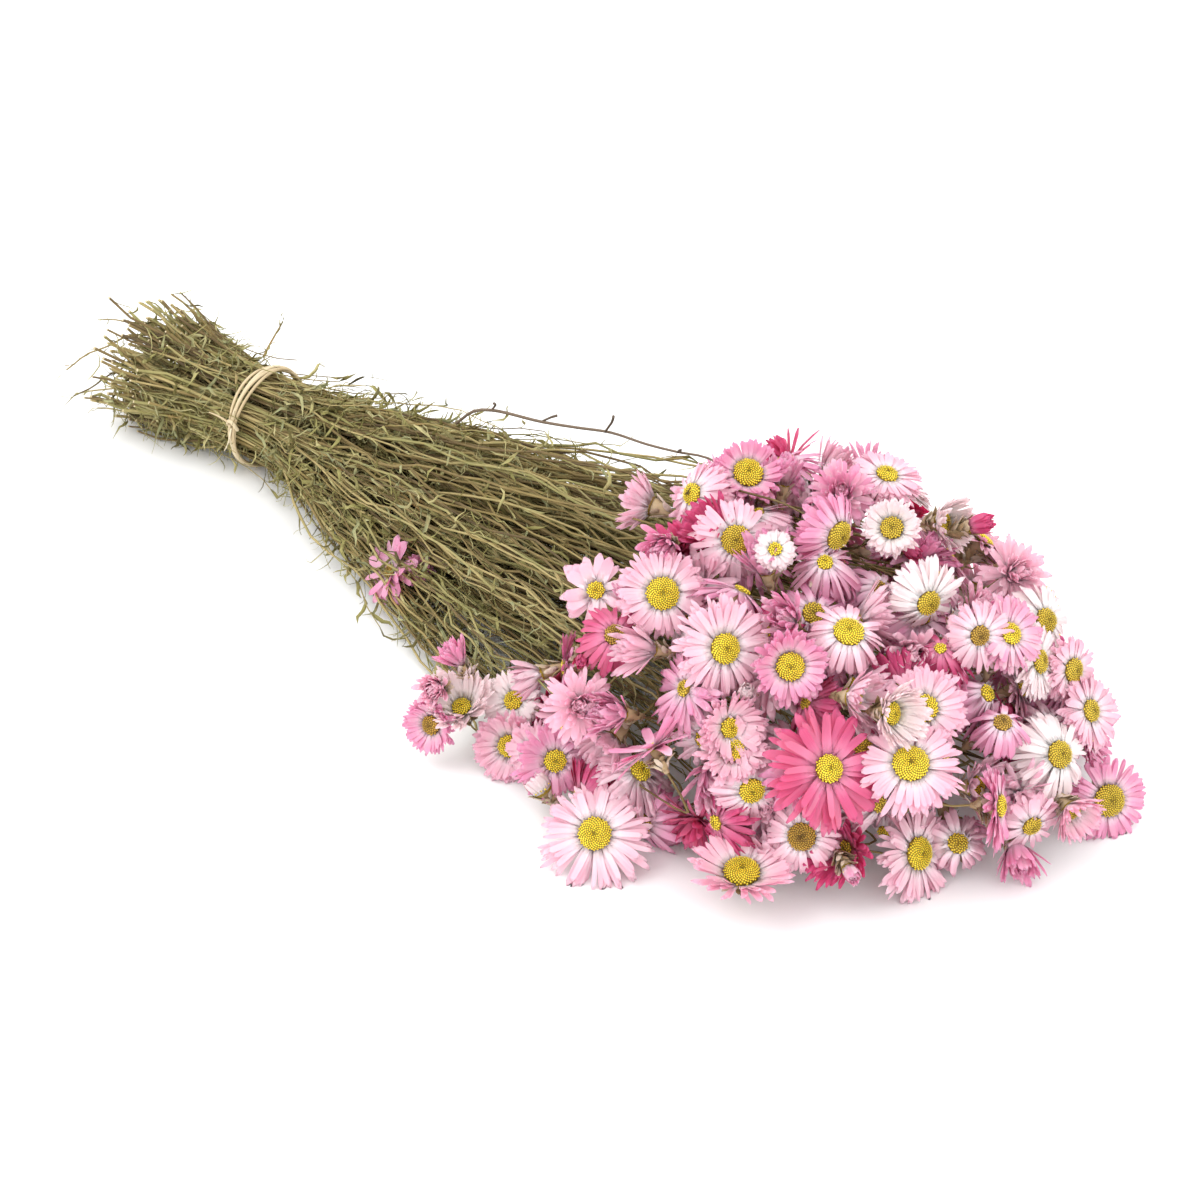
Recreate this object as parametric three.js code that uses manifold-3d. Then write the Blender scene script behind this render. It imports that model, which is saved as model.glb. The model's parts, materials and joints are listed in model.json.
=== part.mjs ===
// Tied bunch of dried everlasting daisies, lying on a surface.
//
// Twelve sprays of stems run through a raffia tie and fan out to the flower
// heads, which together form a low dome. Millimetres, +Z up. While the bunch
// is made, X = 0 is the tie and the flowers lie towards +X; at the end the
// whole bunch is moved so that the origin is the middle of its box, on the
// surface that it lies on.

import * as THREE from 'three';
import { mergeVertices } from 'three/addons/utils/BufferGeometryUtils.js';
import Module from 'manifold-3d';

const wasm = await Module();
wasm.setup();

// Clearance kept between pieces that touch on the real bunch.
const GAP = 0.3;

// Raffia tie.
const TIE_RADIUS = 19.8;
const STRAND_RADIUS = 1.15;
const STRAND_WIDTH = 1.9;
const STRAND_VALLEY = 0.3;
const TIE_SIDES = 24;
const KNOT_ANGLE = 165;
const KNOT_RADIUS = 2.6;
const KNOT_OUT = 1.6;
const TAIL_RADIUS = 0.9;
const TAIL_SIDES = 5;
const TAIL_STEPS = 4;
const TIE_PRESSED = 0.45;
const TIE_HEIGHT = TIE_RADIUS + STRAND_RADIUS - TIE_PRESSED;

// Stems: one tightly packed core to each spray, and one stem to each head.
const CORE_RADIUS = 4.35;
const CORE_CUT_RADIUS = 4;
const CORE_END_RADIUS = 2.2;
const CORE_CUT_X = -50;
const CORE_TURN_X = 60;
const CORE_END_X = 140;
const CORE_THICK_FROM = 0.15;
const CORE_THICK_TO = 0.4;
const CORE_SIDES = 9;
const CORE_STEPS = 7;
const RING_RADIUS = 13.95;
const MIDDLE_RADIUS = 5.4;
const STEM_RADIUS = 1.1;
const STEM_OFFSET = 2.7;
const STEM_SIDES = 5;
const STEM_STEPS = 10;
const TIED_HALF = 14;
const CUT_FLARE = 0.35;
const CUT_ENDS_FLARE = 0.5;
const FLOOR_CLEARANCE = 0.4;

// Flower heads, measured along the head's own axis from the base of its disc.
const CALYX_DEPTH = 9;
const CALYX_TIP = 1.9;
const CALYX_RADIUS = 4.4;
const DISH_LOW = 1;
const DISH_HIGH = 2.8;
const DISC_BASE = 1.6;
const DISC_RISE = 5.2;
const HEAD_SIDES = 9;
const DISH_SHARE = 0.86;
const NECK_LENGTH = 14;

// The low dome that the heads lie on.
const DOME = { x: 265, y: -18, z: 24, front: 118, back: 88, side: 98, rise: 76 };

const LIGHT_PINK = 0xf3c3d9;
const MID_PINK = 0xe58ab8;
const ROSE = 0xcf4a80;
const WHITE_PINK = 0xf8e9ef;
const DRY_STEM = 0x7d7245;
const RAFFIA = 0xd9c9a0;

const radians = THREE.MathUtils.degToRad;

// Joins a geometry's seams, before it is bent or turned.
function seamless(geometry) {
  geometry.deleteAttribute('normal');
  geometry.deleteAttribute('uv');
  return mergeVertices(geometry, 1e-4);
}

// Turns a seamless geometry into a solid that can be joined and cut.
function solidOf(geometry) {
  return new wasm.Manifold(new wasm.Mesh({
    numProp: 3,
    vertProperties: new Float32Array(geometry.attributes.position.array),
    triVerts: new Uint32Array(geometry.index.array),
  }));
}

// Turns a solid back into a geometry for a mesh.
function geometryOf(solid) {
  const { vertProperties, triVerts, numProp } = solid.getMesh();
  const places = new Float32Array((vertProperties.length / numProp) * 3);
  for (let i = 0; i < places.length / 3; i += 1) {
    places.set(vertProperties.subarray(i * numProp, i * numProp + 3), i * 3);
  }
  const geometry = new THREE.BufferGeometry();
  geometry.setAttribute('position', new THREE.BufferAttribute(places, 3));
  geometry.setIndex(new THREE.BufferAttribute(new Uint32Array(triVerts), 1));
  geometry.computeVertexNormals();
  return geometry;
}

function union(solids) {
  return solids.reduce((whole, solid) => whole.add(solid));
}

function largest(solid) {
  const pieces = solid.decompose();
  return pieces.sort((a, b) => b.volume() - a.volume())[0];
}

function aboveFloor(point, radius) {
  point.z = Math.max(point.z, radius + FLOOR_CLEARANCE);
  return point;
}

// A cylinder bent along a curve, with a radius that may change on the way.
function bentTaper(curve, radiusAt, sides, steps) {
  const geometry = seamless(new THREE.CylinderGeometry(1, 1, 1, sides, steps));
  const frames = curve.computeFrenetFrames(steps);
  const place = geometry.attributes.position;
  for (let i = 0; i < place.count; i += 1) {
    const along = place.getY(i) + 0.5;
    const step = Math.round(along * steps);
    const radius = radiusAt(along);
    const point = aboveFloor(curve.getPointAt(along), radius)
      .addScaledVector(frames.normals[step], place.getZ(i) * radius)
      .addScaledVector(frames.binormals[step], place.getX(i) * radius);
    place.setXYZ(i, point.x, point.y, point.z);
  }
  return solidOf(geometry);
}

function domeHeight(x, y) {
  const length = x > DOME.x ? DOME.front : DOME.back;
  const left = 1 - ((x - DOME.x) / length) ** 2 - ((y - DOME.y) / DOME.side) ** 2;
  return DOME.z + DOME.rise * Math.sqrt(Math.max(0, left));
}

// Sprays: where each one passes the tie, how far its stems are turned round in
// that slot so that they clear the other sprays, and the heads that they carry.
// A head has its place seen from above, its depth under the dome or its
// height, the way it faces (turn about Z from +X, lift above level), its
// diameter, the diameter of its disc and its colour.
const ring = (angle) => ({ radius: RING_RADIUS, angle });
const middle = (angle) => ({ radius: MIDDLE_RADIUS, angle });

const SPRAYS = [
  { slot: ring(110), spin: -10, heads: [
    { x: 235, y: -29, under: 3, turn: -95, lift: 30, size: 31, disc: 9, colour: LIGHT_PINK },
    { x: 243, y: -10, under: 3, turn: -38, lift: 55, size: 27, disc: 12, colour: MID_PINK },
    { x: 263, y: -43, under: 6, turn: -45, lift: 30, size: 32, disc: 12, colour: LIGHT_PINK },
    { x: 292, y: -26, under: 0, turn: -10, lift: 0, size: 32, disc: 12, colour: MID_PINK },
  ] },
  { slot: ring(70), heads: [
    { x: 275, y: 2, under: 6, turn: -60, lift: 55, size: 30, disc: 11, colour: MID_PINK },
    { x: 254, y: 34, height: 70, turn: 105, lift: 50, size: 32, disc: 11, colour: LIGHT_PINK },
    { x: 269, y: 42, height: 74, turn: 80, lift: 55, size: 32, disc: 12, colour: WHITE_PINK },
    { x: 305, y: 18, under: 5, turn: 10, lift: 25, size: 26, disc: 9, colour: WHITE_PINK },
  ] },
  { slot: ring(30), heads: [
    { x: 236, y: 54, height: 36, turn: 110, lift: 35, size: 28, disc: 10, colour: MID_PINK },
    { x: 303, y: 48, height: 60, turn: 75, lift: 40, size: 34, disc: 12, colour: LIGHT_PINK },
    { x: 331, y: 49, height: 48, turn: 50, lift: 35, size: 32, disc: 11, colour: WHITE_PINK },
    { x: 254, y: 73, height: 38, turn: 95, lift: 20, size: 34, disc: 12, colour: ROSE },
  ] },
  { slot: ring(-10), heads: [
    { x: 203, y: 74, rests: true, turn: 115, lift: 30, size: 30, disc: 10, colour: WHITE_PINK },
    { x: 281, y: 84, rests: true, turn: 90, lift: 25, size: 34, disc: 12, colour: LIGHT_PINK },
    { x: 319, y: 74, rests: true, turn: 60, lift: 25, size: 34, disc: 12, colour: MID_PINK },
  ] },
  { slot: ring(-50), heads: [
    { x: 350, y: 48, rests: true, turn: 45, lift: 25, size: 32, disc: 11, colour: LIGHT_PINK },
    { x: 372, y: 15, height: 27, turn: 20, lift: 15, size: 28, disc: 10, colour: MID_PINK },
    { x: 387, y: 7, rests: true, turn: -30, lift: 30, size: 32, disc: 13, colour: MID_PINK },
  ] },
  { slot: ring(-90), heads: [
    { x: 377, y: -35, rests: true, turn: -35, lift: -15, size: 28, disc: 8, colour: MID_PINK },
    { x: 378, y: -14, height: 38, turn: -15, lift: 35, size: 35, disc: 11, colour: WHITE_PINK },
    { x: 375, y: -46, height: 34, turn: 20, lift: 12, size: 30, disc: 9, colour: MID_PINK },
    { x: 355, y: -62, rests: true, turn: -5, lift: 25, size: 36, disc: 13, colour: LIGHT_PINK },
  ] },
  { slot: ring(-130), heads: [
    { x: 317, y: -108, height: 14, turn: -50, lift: 60, size: 36, disc: 14, colour: LIGHT_PINK },
    { x: 264, y: -120, rests: true, turn: -55, lift: 35, size: 38, disc: 13, colour: LIGHT_PINK },
    { x: 206, y: -96, rests: true, turn: -65, lift: 35, size: 28, disc: 9, colour: LIGHT_PINK },
    { x: 329, y: -91, height: 26, turn: -60, lift: 30, size: 28, disc: 11, colour: LIGHT_PINK },
  ] },
  { slot: ring(190), heads: [
    { x: 233, y: -104, height: 20, turn: -40, lift: 30, size: 28, disc: 9, colour: MID_PINK },
    { x: 187, y: -99, height: 18, turn: -50, lift: 30, size: 28, disc: 9, colour: WHITE_PINK },
    { x: 245, y: -105, height: 49, turn: -45, lift: 40, size: 31, disc: 9, colour: LIGHT_PINK },
    { x: 311, y: -96, height: 40, turn: -40, lift: 15, size: 30, disc: 10, colour: LIGHT_PINK },
  ] },
  { slot: ring(150), heads: [
    { x: 228, y: -75, under: 4, turn: -55, lift: 40, size: 22, disc: 7, colour: LIGHT_PINK },
    { x: 246, y: -87, under: 7, turn: -40, lift: 55, size: 31, disc: 9, colour: ROSE },
    { x: 255, y: -73, under: 4, turn: -45, lift: 40, size: 32, disc: 13, colour: LIGHT_PINK },
    { x: 287, y: -81, height: 78, turn: -25, lift: 30, size: 37, disc: 12, colour: LIGHT_PINK },
  ] },
  { slot: middle(90), spin: 70, heads: [
    { x: 294, y: -34, height: 88, turn: -50, lift: 0, size: 32, disc: 8, colour: MID_PINK },
    { x: 328, y: -23, height: 84, turn: -25, lift: 8, size: 31, disc: 10, colour: WHITE_PINK },
    { x: 331, y: 25, height: 71, turn: -15, lift: 42, size: 32, disc: 10, colour: LIGHT_PINK },
    { x: 315, y: 21, under: 0, turn: 30, lift: 25, size: 16, disc: 5, colour: ROSE },
  ] },
  { slot: middle(210), heads: [
    { x: 317, y: -52, under: 6, turn: -35, lift: 65, size: 31, disc: 12, colour: LIGHT_PINK },
    { x: 308, y: -72, under: 6, turn: -45, lift: 35, size: 28, disc: 11, colour: MID_PINK },
    { x: 335, y: -87, under: 0, turn: -25, lift: 40, size: 38, disc: 11, colour: ROSE },
    { x: 355, y: -68, under: 0, turn: -50, lift: 55, size: 37, disc: 14, colour: LIGHT_PINK },
  ] },
  { slot: middle(330), heads: [
    { x: 340, y: -31, under: 9, turn: -45, lift: 45, size: 34, disc: 6, colour: ROSE },
    { x: 348, y: -51, height: 64, turn: -60, lift: 45, size: 30, disc: 11, colour: LIGHT_PINK },
    { x: 368, y: -34, height: 55, turn: -45, lift: 5, size: 26, disc: 9, colour: MID_PINK },
    { x: 350, y: 17, under: 5, turn: -10, lift: 35, size: 29, disc: 10, colour: WHITE_PINK },
    { x: 365, y: 12, under: 4, turn: -5, lift: 20, size: 26, disc: 10, colour: LIGHT_PINK },
  ] },
];

// How far back each stem of a spray is cut, one after the other.
const CUT_ENDS = [-62, -55, -68, -58, -65];
// One long stem sticks out beyond the others at the cut ends.
const STRAY = { spray: 7, stem: 1, x: -89, y: -44, z: 20 };

function facing(head) {
  const level = Math.cos(radians(head.lift));
  return new THREE.Vector3(
    level * Math.cos(radians(head.turn)),
    level * Math.sin(radians(head.turn)),
    Math.sin(radians(head.lift)),
  );
}

// A flower head, turned the way it faces: its calyx, the dish of its bracts
// and its domed disc. It is grown by a clearance where a neighbour has to make
// room for it.
function turnedHead(head, grown = 0) {
  const dish = DISH_SHARE * head.size / 2 + grown;
  const disc = head.disc / 2;
  const outline = [
    [0, -CALYX_DEPTH - grown],
    [CALYX_TIP + grown, -CALYX_DEPTH + 0.5 - grown],
    [CALYX_RADIUS + grown, -CALYX_DEPTH / 2 - grown],
    [dish, DISH_LOW - grown],
    [dish, DISH_HIGH + grown],
    [disc + 1 + grown, DISC_BASE + grown],
    [disc * 0.8 + grown, DISC_RISE - 1.2 + grown],
    [0, DISC_RISE + grown],
  ].map(([radius, height]) => new THREE.Vector2(radius, height));
  const geometry = seamless(new THREE.LatheGeometry(outline, HEAD_SIDES));
  geometry.rotateX(Math.PI / 2);
  const up = new THREE.Vector3(0, 0, 1);
  geometry.applyQuaternion(new THREE.Quaternion().setFromUnitVectors(up, facing(head)));
  return geometry;
}

function headSolid(head, grown = 0) {
  const geometry = turnedHead(head, grown);
  geometry.translate(head.place.x, head.place.y, head.place.z);
  return solidOf(geometry);
}

// A head that rests has its lowest point on the surface.
function headHeight(head) {
  if (head.rests) {
    const geometry = turnedHead(head);
    geometry.computeBoundingBox();
    return -geometry.boundingBox.min.z;
  }
  return head.height ?? domeHeight(head.x, head.y) - head.under;
}

// Where a spray's slot lies in the cross-section of the tied bundle.
function slotPlace(slot) {
  const angle = radians(slot.angle);
  return { y: slot.radius * Math.cos(angle), z: slot.radius * Math.sin(angle) };
}

function bundlePoint(x, spread, place) {
  return new THREE.Vector3(x, spread * place.y, TIE_HEIGHT + spread * place.z);
}

// The end of a head's stem, just short of its calyx, and the point behind it
// from which the stem comes straight to the head.
function neck(head) {
  const end = head.place.clone().addScaledVector(facing(head), -CALYX_DEPTH - GAP);
  const start = aboveFloor(end.clone().addScaledVector(facing(head), -NECK_LENGTH), STEM_RADIUS);
  return { start, end };
}

function stemCurve(spray, index) {
  const head = spray.heads[index];
  const slot = slotPlace(spray.slot);
  const turn = radians(spray.slot.angle + (spray.spin ?? 0) + index * 360 / spray.heads.length);
  const place = {
    y: slot.y + STEM_OFFSET * Math.cos(turn),
    z: slot.z + STEM_OFFSET * Math.sin(turn),
  };
  const { start, end } = neck(head);
  const cut = head.stray
    ? new THREE.Vector3(STRAY.x, STRAY.y, STRAY.z)
    : bundlePoint(CUT_ENDS[index], 1 + CUT_ENDS_FLARE, place);
  const tied = bundlePoint(TIED_HALF, 1, place);
  const points = [
    cut,
    bundlePoint(-TIED_HALF, 1, place),
    tied,
    tied.clone().lerp(start, 0.5),
    start,
    end,
  ];
  points.forEach((point) => aboveFloor(point, STEM_RADIUS));
  return new THREE.CatmullRomCurve3(points, false, 'centripetal');
}

// The packed core of a spray follows the middle of its own stems. It swells
// from its cut end to the tie and thins out among the heads.
function coreSolid(spray, grown = 0) {
  const slot = slotPlace(spray.slot);
  const aim = new THREE.Vector3();
  spray.heads.forEach((head) => aim.add(neck(head).start));
  aim.divideScalar(spray.heads.length);
  const tied = bundlePoint(TIED_HALF, 1, slot);
  const towards = (x) => tied.clone().lerp(aim, (x - TIED_HALF) / (aim.x - TIED_HALF));
  const points = [
    aboveFloor(bundlePoint(CORE_CUT_X, 1 + CUT_FLARE, slot), CORE_CUT_RADIUS),
    bundlePoint(-TIED_HALF, 1, slot),
    tied,
    towards(CORE_TURN_X),
    towards(CORE_END_X),
  ];
  const { lerp, smoothstep } = THREE.MathUtils;
  const radiusAt = (along) => (
    lerp(CORE_CUT_RADIUS, CORE_RADIUS, smoothstep(along, 0, CORE_THICK_FROM))
    - lerp(0, CORE_RADIUS - CORE_END_RADIUS, smoothstep(along, CORE_THICK_TO, 1)) + grown
  );
  const curve = new THREE.CatmullRomCurve3(points, false, 'centripetal');
  return bentTaper(curve, radiusAt, CORE_SIDES, CORE_STEPS);
}

function spraySolid(spray, grown = 0) {
  const stems = spray.heads.map((head, index) => (
    bentTaper(stemCurve(spray, index), () => STEM_RADIUS + grown, STEM_SIDES, STEM_STEPS)
  ));
  return union([coreSolid(spray, grown), ...stems]);
}

// Raffia: three strands side by side round the bundle, a knot and two short
// tails. The strands are pressed flat where the bunch lies on them.
function tieSolid() {
  const inner = TIE_RADIUS - STRAND_RADIUS;
  const outer = TIE_RADIUS + STRAND_RADIUS;
  const valley = outer - STRAND_VALLEY;
  const outline = [
    [inner, -1.4],
    [valley, -1.55],
    [outer, -1],
    [valley, -0.5],
    [outer, 0],
    [valley, 0.5],
    [outer, 1],
    [valley, 1.55],
    [inner, 1.4],
    [inner, -1.4],
  ].map(([radius, side]) => new THREE.Vector2(radius, side * STRAND_WIDTH));
  const strands = seamless(new THREE.LatheGeometry(outline, TIE_SIDES));
  strands.rotateZ(-Math.PI / 2);
  strands.translate(0, 0, TIE_HEIGHT);
  const knotAngle = radians(KNOT_ANGLE);
  const knotPlace = new THREE.Vector3(
    0,
    (TIE_RADIUS + KNOT_OUT) * Math.cos(knotAngle),
    TIE_HEIGHT + (TIE_RADIUS + KNOT_OUT) * Math.sin(knotAngle),
  );
  const knot = seamless(new THREE.SphereGeometry(KNOT_RADIUS, 7, 5));
  knot.scale(1.2, 0.8, 1);
  knot.translate(knotPlace.x, knotPlace.y, knotPlace.z);
  const tails = [
    [[-6, -2, 2], [-11, -2.5, -1]],
    [[4, -3, -3], [5, -4, -8]],
  ].map((offsets) => {
    const points = [[0, 0, 0], ...offsets].map(([x, y, z]) => (
      knotPlace.clone().add(new THREE.Vector3(x, y, z))
    ));
    return bentTaper(new THREE.CatmullRomCurve3(points), () => TAIL_RADIUS, TAIL_SIDES, TAIL_STEPS);
  });
  const below = seamless(new THREE.BoxGeometry(3 * outer, 3 * outer, outer));
  below.translate(0, 0, -outer / 2);
  return union([solidOf(strands), solidOf(knot), ...tails]).subtract(solidOf(below));
}

function meshOf(name, solid, colour) {
  const material = new THREE.MeshStandardMaterial({ color: colour, roughness: 0.85, metalness: 0 });
  const mesh = new THREE.Mesh(geometryOf(solid), material);
  mesh.name = name;
  return mesh;
}

const numbered = (word, number) => `${word}_${String(number).padStart(2, '0')}`;

SPRAYS[STRAY.spray].heads[STRAY.stem].stray = true;
const heads = SPRAYS.flatMap((spray) => spray.heads);
heads.forEach((head) => {
  head.place = new THREE.Vector3(head.x, head.y, headHeight(head));
});

const bunch = new THREE.Group();
bunch.name = 'daisy_bunch';
bunch.add(meshOf('raffia_tie', tieSolid(), RAFFIA));

SPRAYS.forEach((spray, index) => {
  bunch.add(meshOf(numbered('stem_spray', index + 1), spraySolid(spray), DRY_STEM));
});

// A head makes room for the stems that pass it and for the heads before it.
const stemRoom = union(SPRAYS.map((spray) => spraySolid(spray, GAP)));
heads.forEach((head, index) => {
  const near = heads.slice(0, index)
    .filter((other) => other.place.distanceTo(head.place) < (head.size + other.size) / 2)
    .map((other) => headSolid(other, GAP));
  const solid = largest(headSolid(head).subtract(union([stemRoom, ...near])));
  bunch.add(meshOf(numbered('flower_head', index + 1), solid, head.colour));
});

const box = new THREE.Box3().setFromObject(bunch);
const centre = box.getCenter(new THREE.Vector3());
bunch.position.set(-centre.x, -centre.y, 0);
bunch.updateMatrixWorld(true);

export default bunch;
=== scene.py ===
import json
import math
import random
from collections import namedtuple

import bpy
from bpy.props import FloatProperty, FloatVectorProperty, IntProperty, PointerProperty
from mathutils import Matrix, Vector


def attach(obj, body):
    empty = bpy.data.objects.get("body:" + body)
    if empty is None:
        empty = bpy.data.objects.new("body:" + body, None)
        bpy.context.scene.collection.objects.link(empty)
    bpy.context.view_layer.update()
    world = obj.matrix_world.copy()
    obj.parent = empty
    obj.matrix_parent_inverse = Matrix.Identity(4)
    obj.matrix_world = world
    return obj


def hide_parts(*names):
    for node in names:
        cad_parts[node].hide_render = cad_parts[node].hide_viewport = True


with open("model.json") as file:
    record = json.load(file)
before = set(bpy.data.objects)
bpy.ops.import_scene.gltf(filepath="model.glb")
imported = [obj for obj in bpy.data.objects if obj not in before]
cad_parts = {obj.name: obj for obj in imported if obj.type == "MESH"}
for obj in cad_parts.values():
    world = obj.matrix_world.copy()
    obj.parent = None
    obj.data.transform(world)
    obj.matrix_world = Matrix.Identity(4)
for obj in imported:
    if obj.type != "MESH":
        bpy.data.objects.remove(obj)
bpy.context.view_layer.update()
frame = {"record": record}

bl_info = {
    "name": "Everlasting daisy bunch",
    "version": (1, 0, 0),
    "blender": (4, 5, 0),
    "location": "3D View > Sidebar > Daisy bunch",
    "description": "Makes a tied bunch of dried everlasting daisies lying on a surface",
    "category": "Add Mesh",
}

MM = 0.001
GOLDEN_ANGLE = math.radians(137.508)

# The raffia ties the bundle above the flat that the bunch rests on. The stems
# run along X. Places on the bunch are in millimetres: x and y from the tie,
# z above the surface.
REST = frame["record"]["mounts"][0]["pos_m"]
TIE = Vector((REST[0] / MM, REST[1] / MM, 20.5))
# Radius of the bundle at the raffia, and half the length that is tied tight.
TIE_RADIUS = 19.8
TIED_HALF = 14
# Distance of the outer and the middle sprays from the middle of the bundle, and
# of a large head's stem from the middle of its spray.
RING = 13.95
MIDDLE = 5.4
STEM_OFFSET = 2.7
# Where the stems of large heads are cut, along X.
CUT_ENDS = (-62, -55, -68, -58, -65)
# From a head's plane back to the end of its calyx.
CALYX_DEPTH = 9
# A stem's thickness at its cut end and at its tip, as shares of the stem radius.
HEAD_STEM = (1.05, 0.6)
BARE_STEM = (1.1, 0.6)
SIDE_SHOOT = (0.45, 0.3)
# Radius of a spray at the tie, and how much wider the bundle is at the cut ends.
SPRAY_RADIUS = 4.8
CUT_SPREAD = 1.45
# From the tied part outwards, a stem gets its full sway over this length.
SWAY_LENGTH = 40
# Least height of a stem's middle line above the surface.
STEM_HEIGHT = 1.4
# In metres: least height of any face and of a leaf's middle line above the
# surface, half the length round the tie that has no leaves, the distance ahead of
# it over which the leaves thin out, and the radius below which a stem is leafier.
FACE_HEIGHT = 0.0002
LEAF_HEIGHT = 0.0012
LEAFLESS_HALF = 0.006
THINNING_LENGTH = 0.22
THIN_STEM = 0.00034
# Distance between the points of a stem's guide path.
POINT_SPACING = 11

# A form says how a head's petals stand: their count, length and width, the
# angle of the outer and the inner ones above the head's plane (degrees), how far
# both bend upwards (radians), the length of the inner ones, how untidy they are
# (degrees), and how much of the disc is left open.
FORMS = {
    "open": dict(petals=110, length=1.08, width=1.05, outer=-7, inner=7, bend=-0.2,
                 inner_bend=0.08, inner_length=0.7, untidy=4, disc=1.0),
    "broad": dict(petals=76, length=1.1, width=1.5, outer=-12, inner=12, bend=-0.2,
                  inner_bend=0.1, inner_length=0.78, untidy=7, disc=1.0),
    "nodding": dict(petals=104, length=1.1, width=1.0, outer=-32, inner=-12, bend=-0.4,
                    inner_bend=-0.1, inner_length=0.76, untidy=5, disc=1.0),
    "reflexed": dict(petals=104, length=1.14, width=1.0, outer=-52, inner=-24, bend=-0.5,
                     inner_bend=-0.2, inner_length=0.8, untidy=7, disc=1.0),
    "skirt": dict(petals=104, length=1.3, width=1.05, outer=-76, inner=-44, bend=-0.2,
                  inner_bend=-0.3, inner_length=0.9, untidy=8, disc=0.8),
    "bowl": dict(petals=100, length=1.06, width=1.05, outer=12, inner=32, bend=0.2,
                 inner_bend=0.3, inner_length=0.8, untidy=5, disc=1.0),
    "cup": dict(petals=96, length=1.1, width=1.05, outer=34, inner=54, bend=0.25,
                inner_bend=0.4, inner_length=0.85, untidy=6, disc=1.0),
    "tulip": dict(petals=84, length=1.16, width=1.1, outer=48, inner=98, bend=0.2,
                  inner_bend=0.5, inner_length=0.8, untidy=8, disc=0.8),
    "full": dict(petals=136, length=1.08, width=1.15, outer=-14, inner=118, bend=-0.3,
                 inner_bend=0.5, inner_length=0.62, untidy=9, disc=0.5),
    "bud": dict(petals=44, length=0.9, width=1.2, outer=72, inner=94, bend=0.45,
                inner_bend=0.7, inner_length=0.85, untidy=6, disc=1.0),
    "star": dict(petals=24, length=1.15, width=2.0, outer=-6, inner=20, bend=-0.2,
                 inner_bend=0.3, inner_length=0.85, untidy=7, disc=1.0),
}

# A head: its place, turn about Z and lift above level (degrees), diameter, disc
# diameter, colour, form and disc finish.
Head = namedtuple("Head", "x y z turn lift size disc colour form finish")

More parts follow.
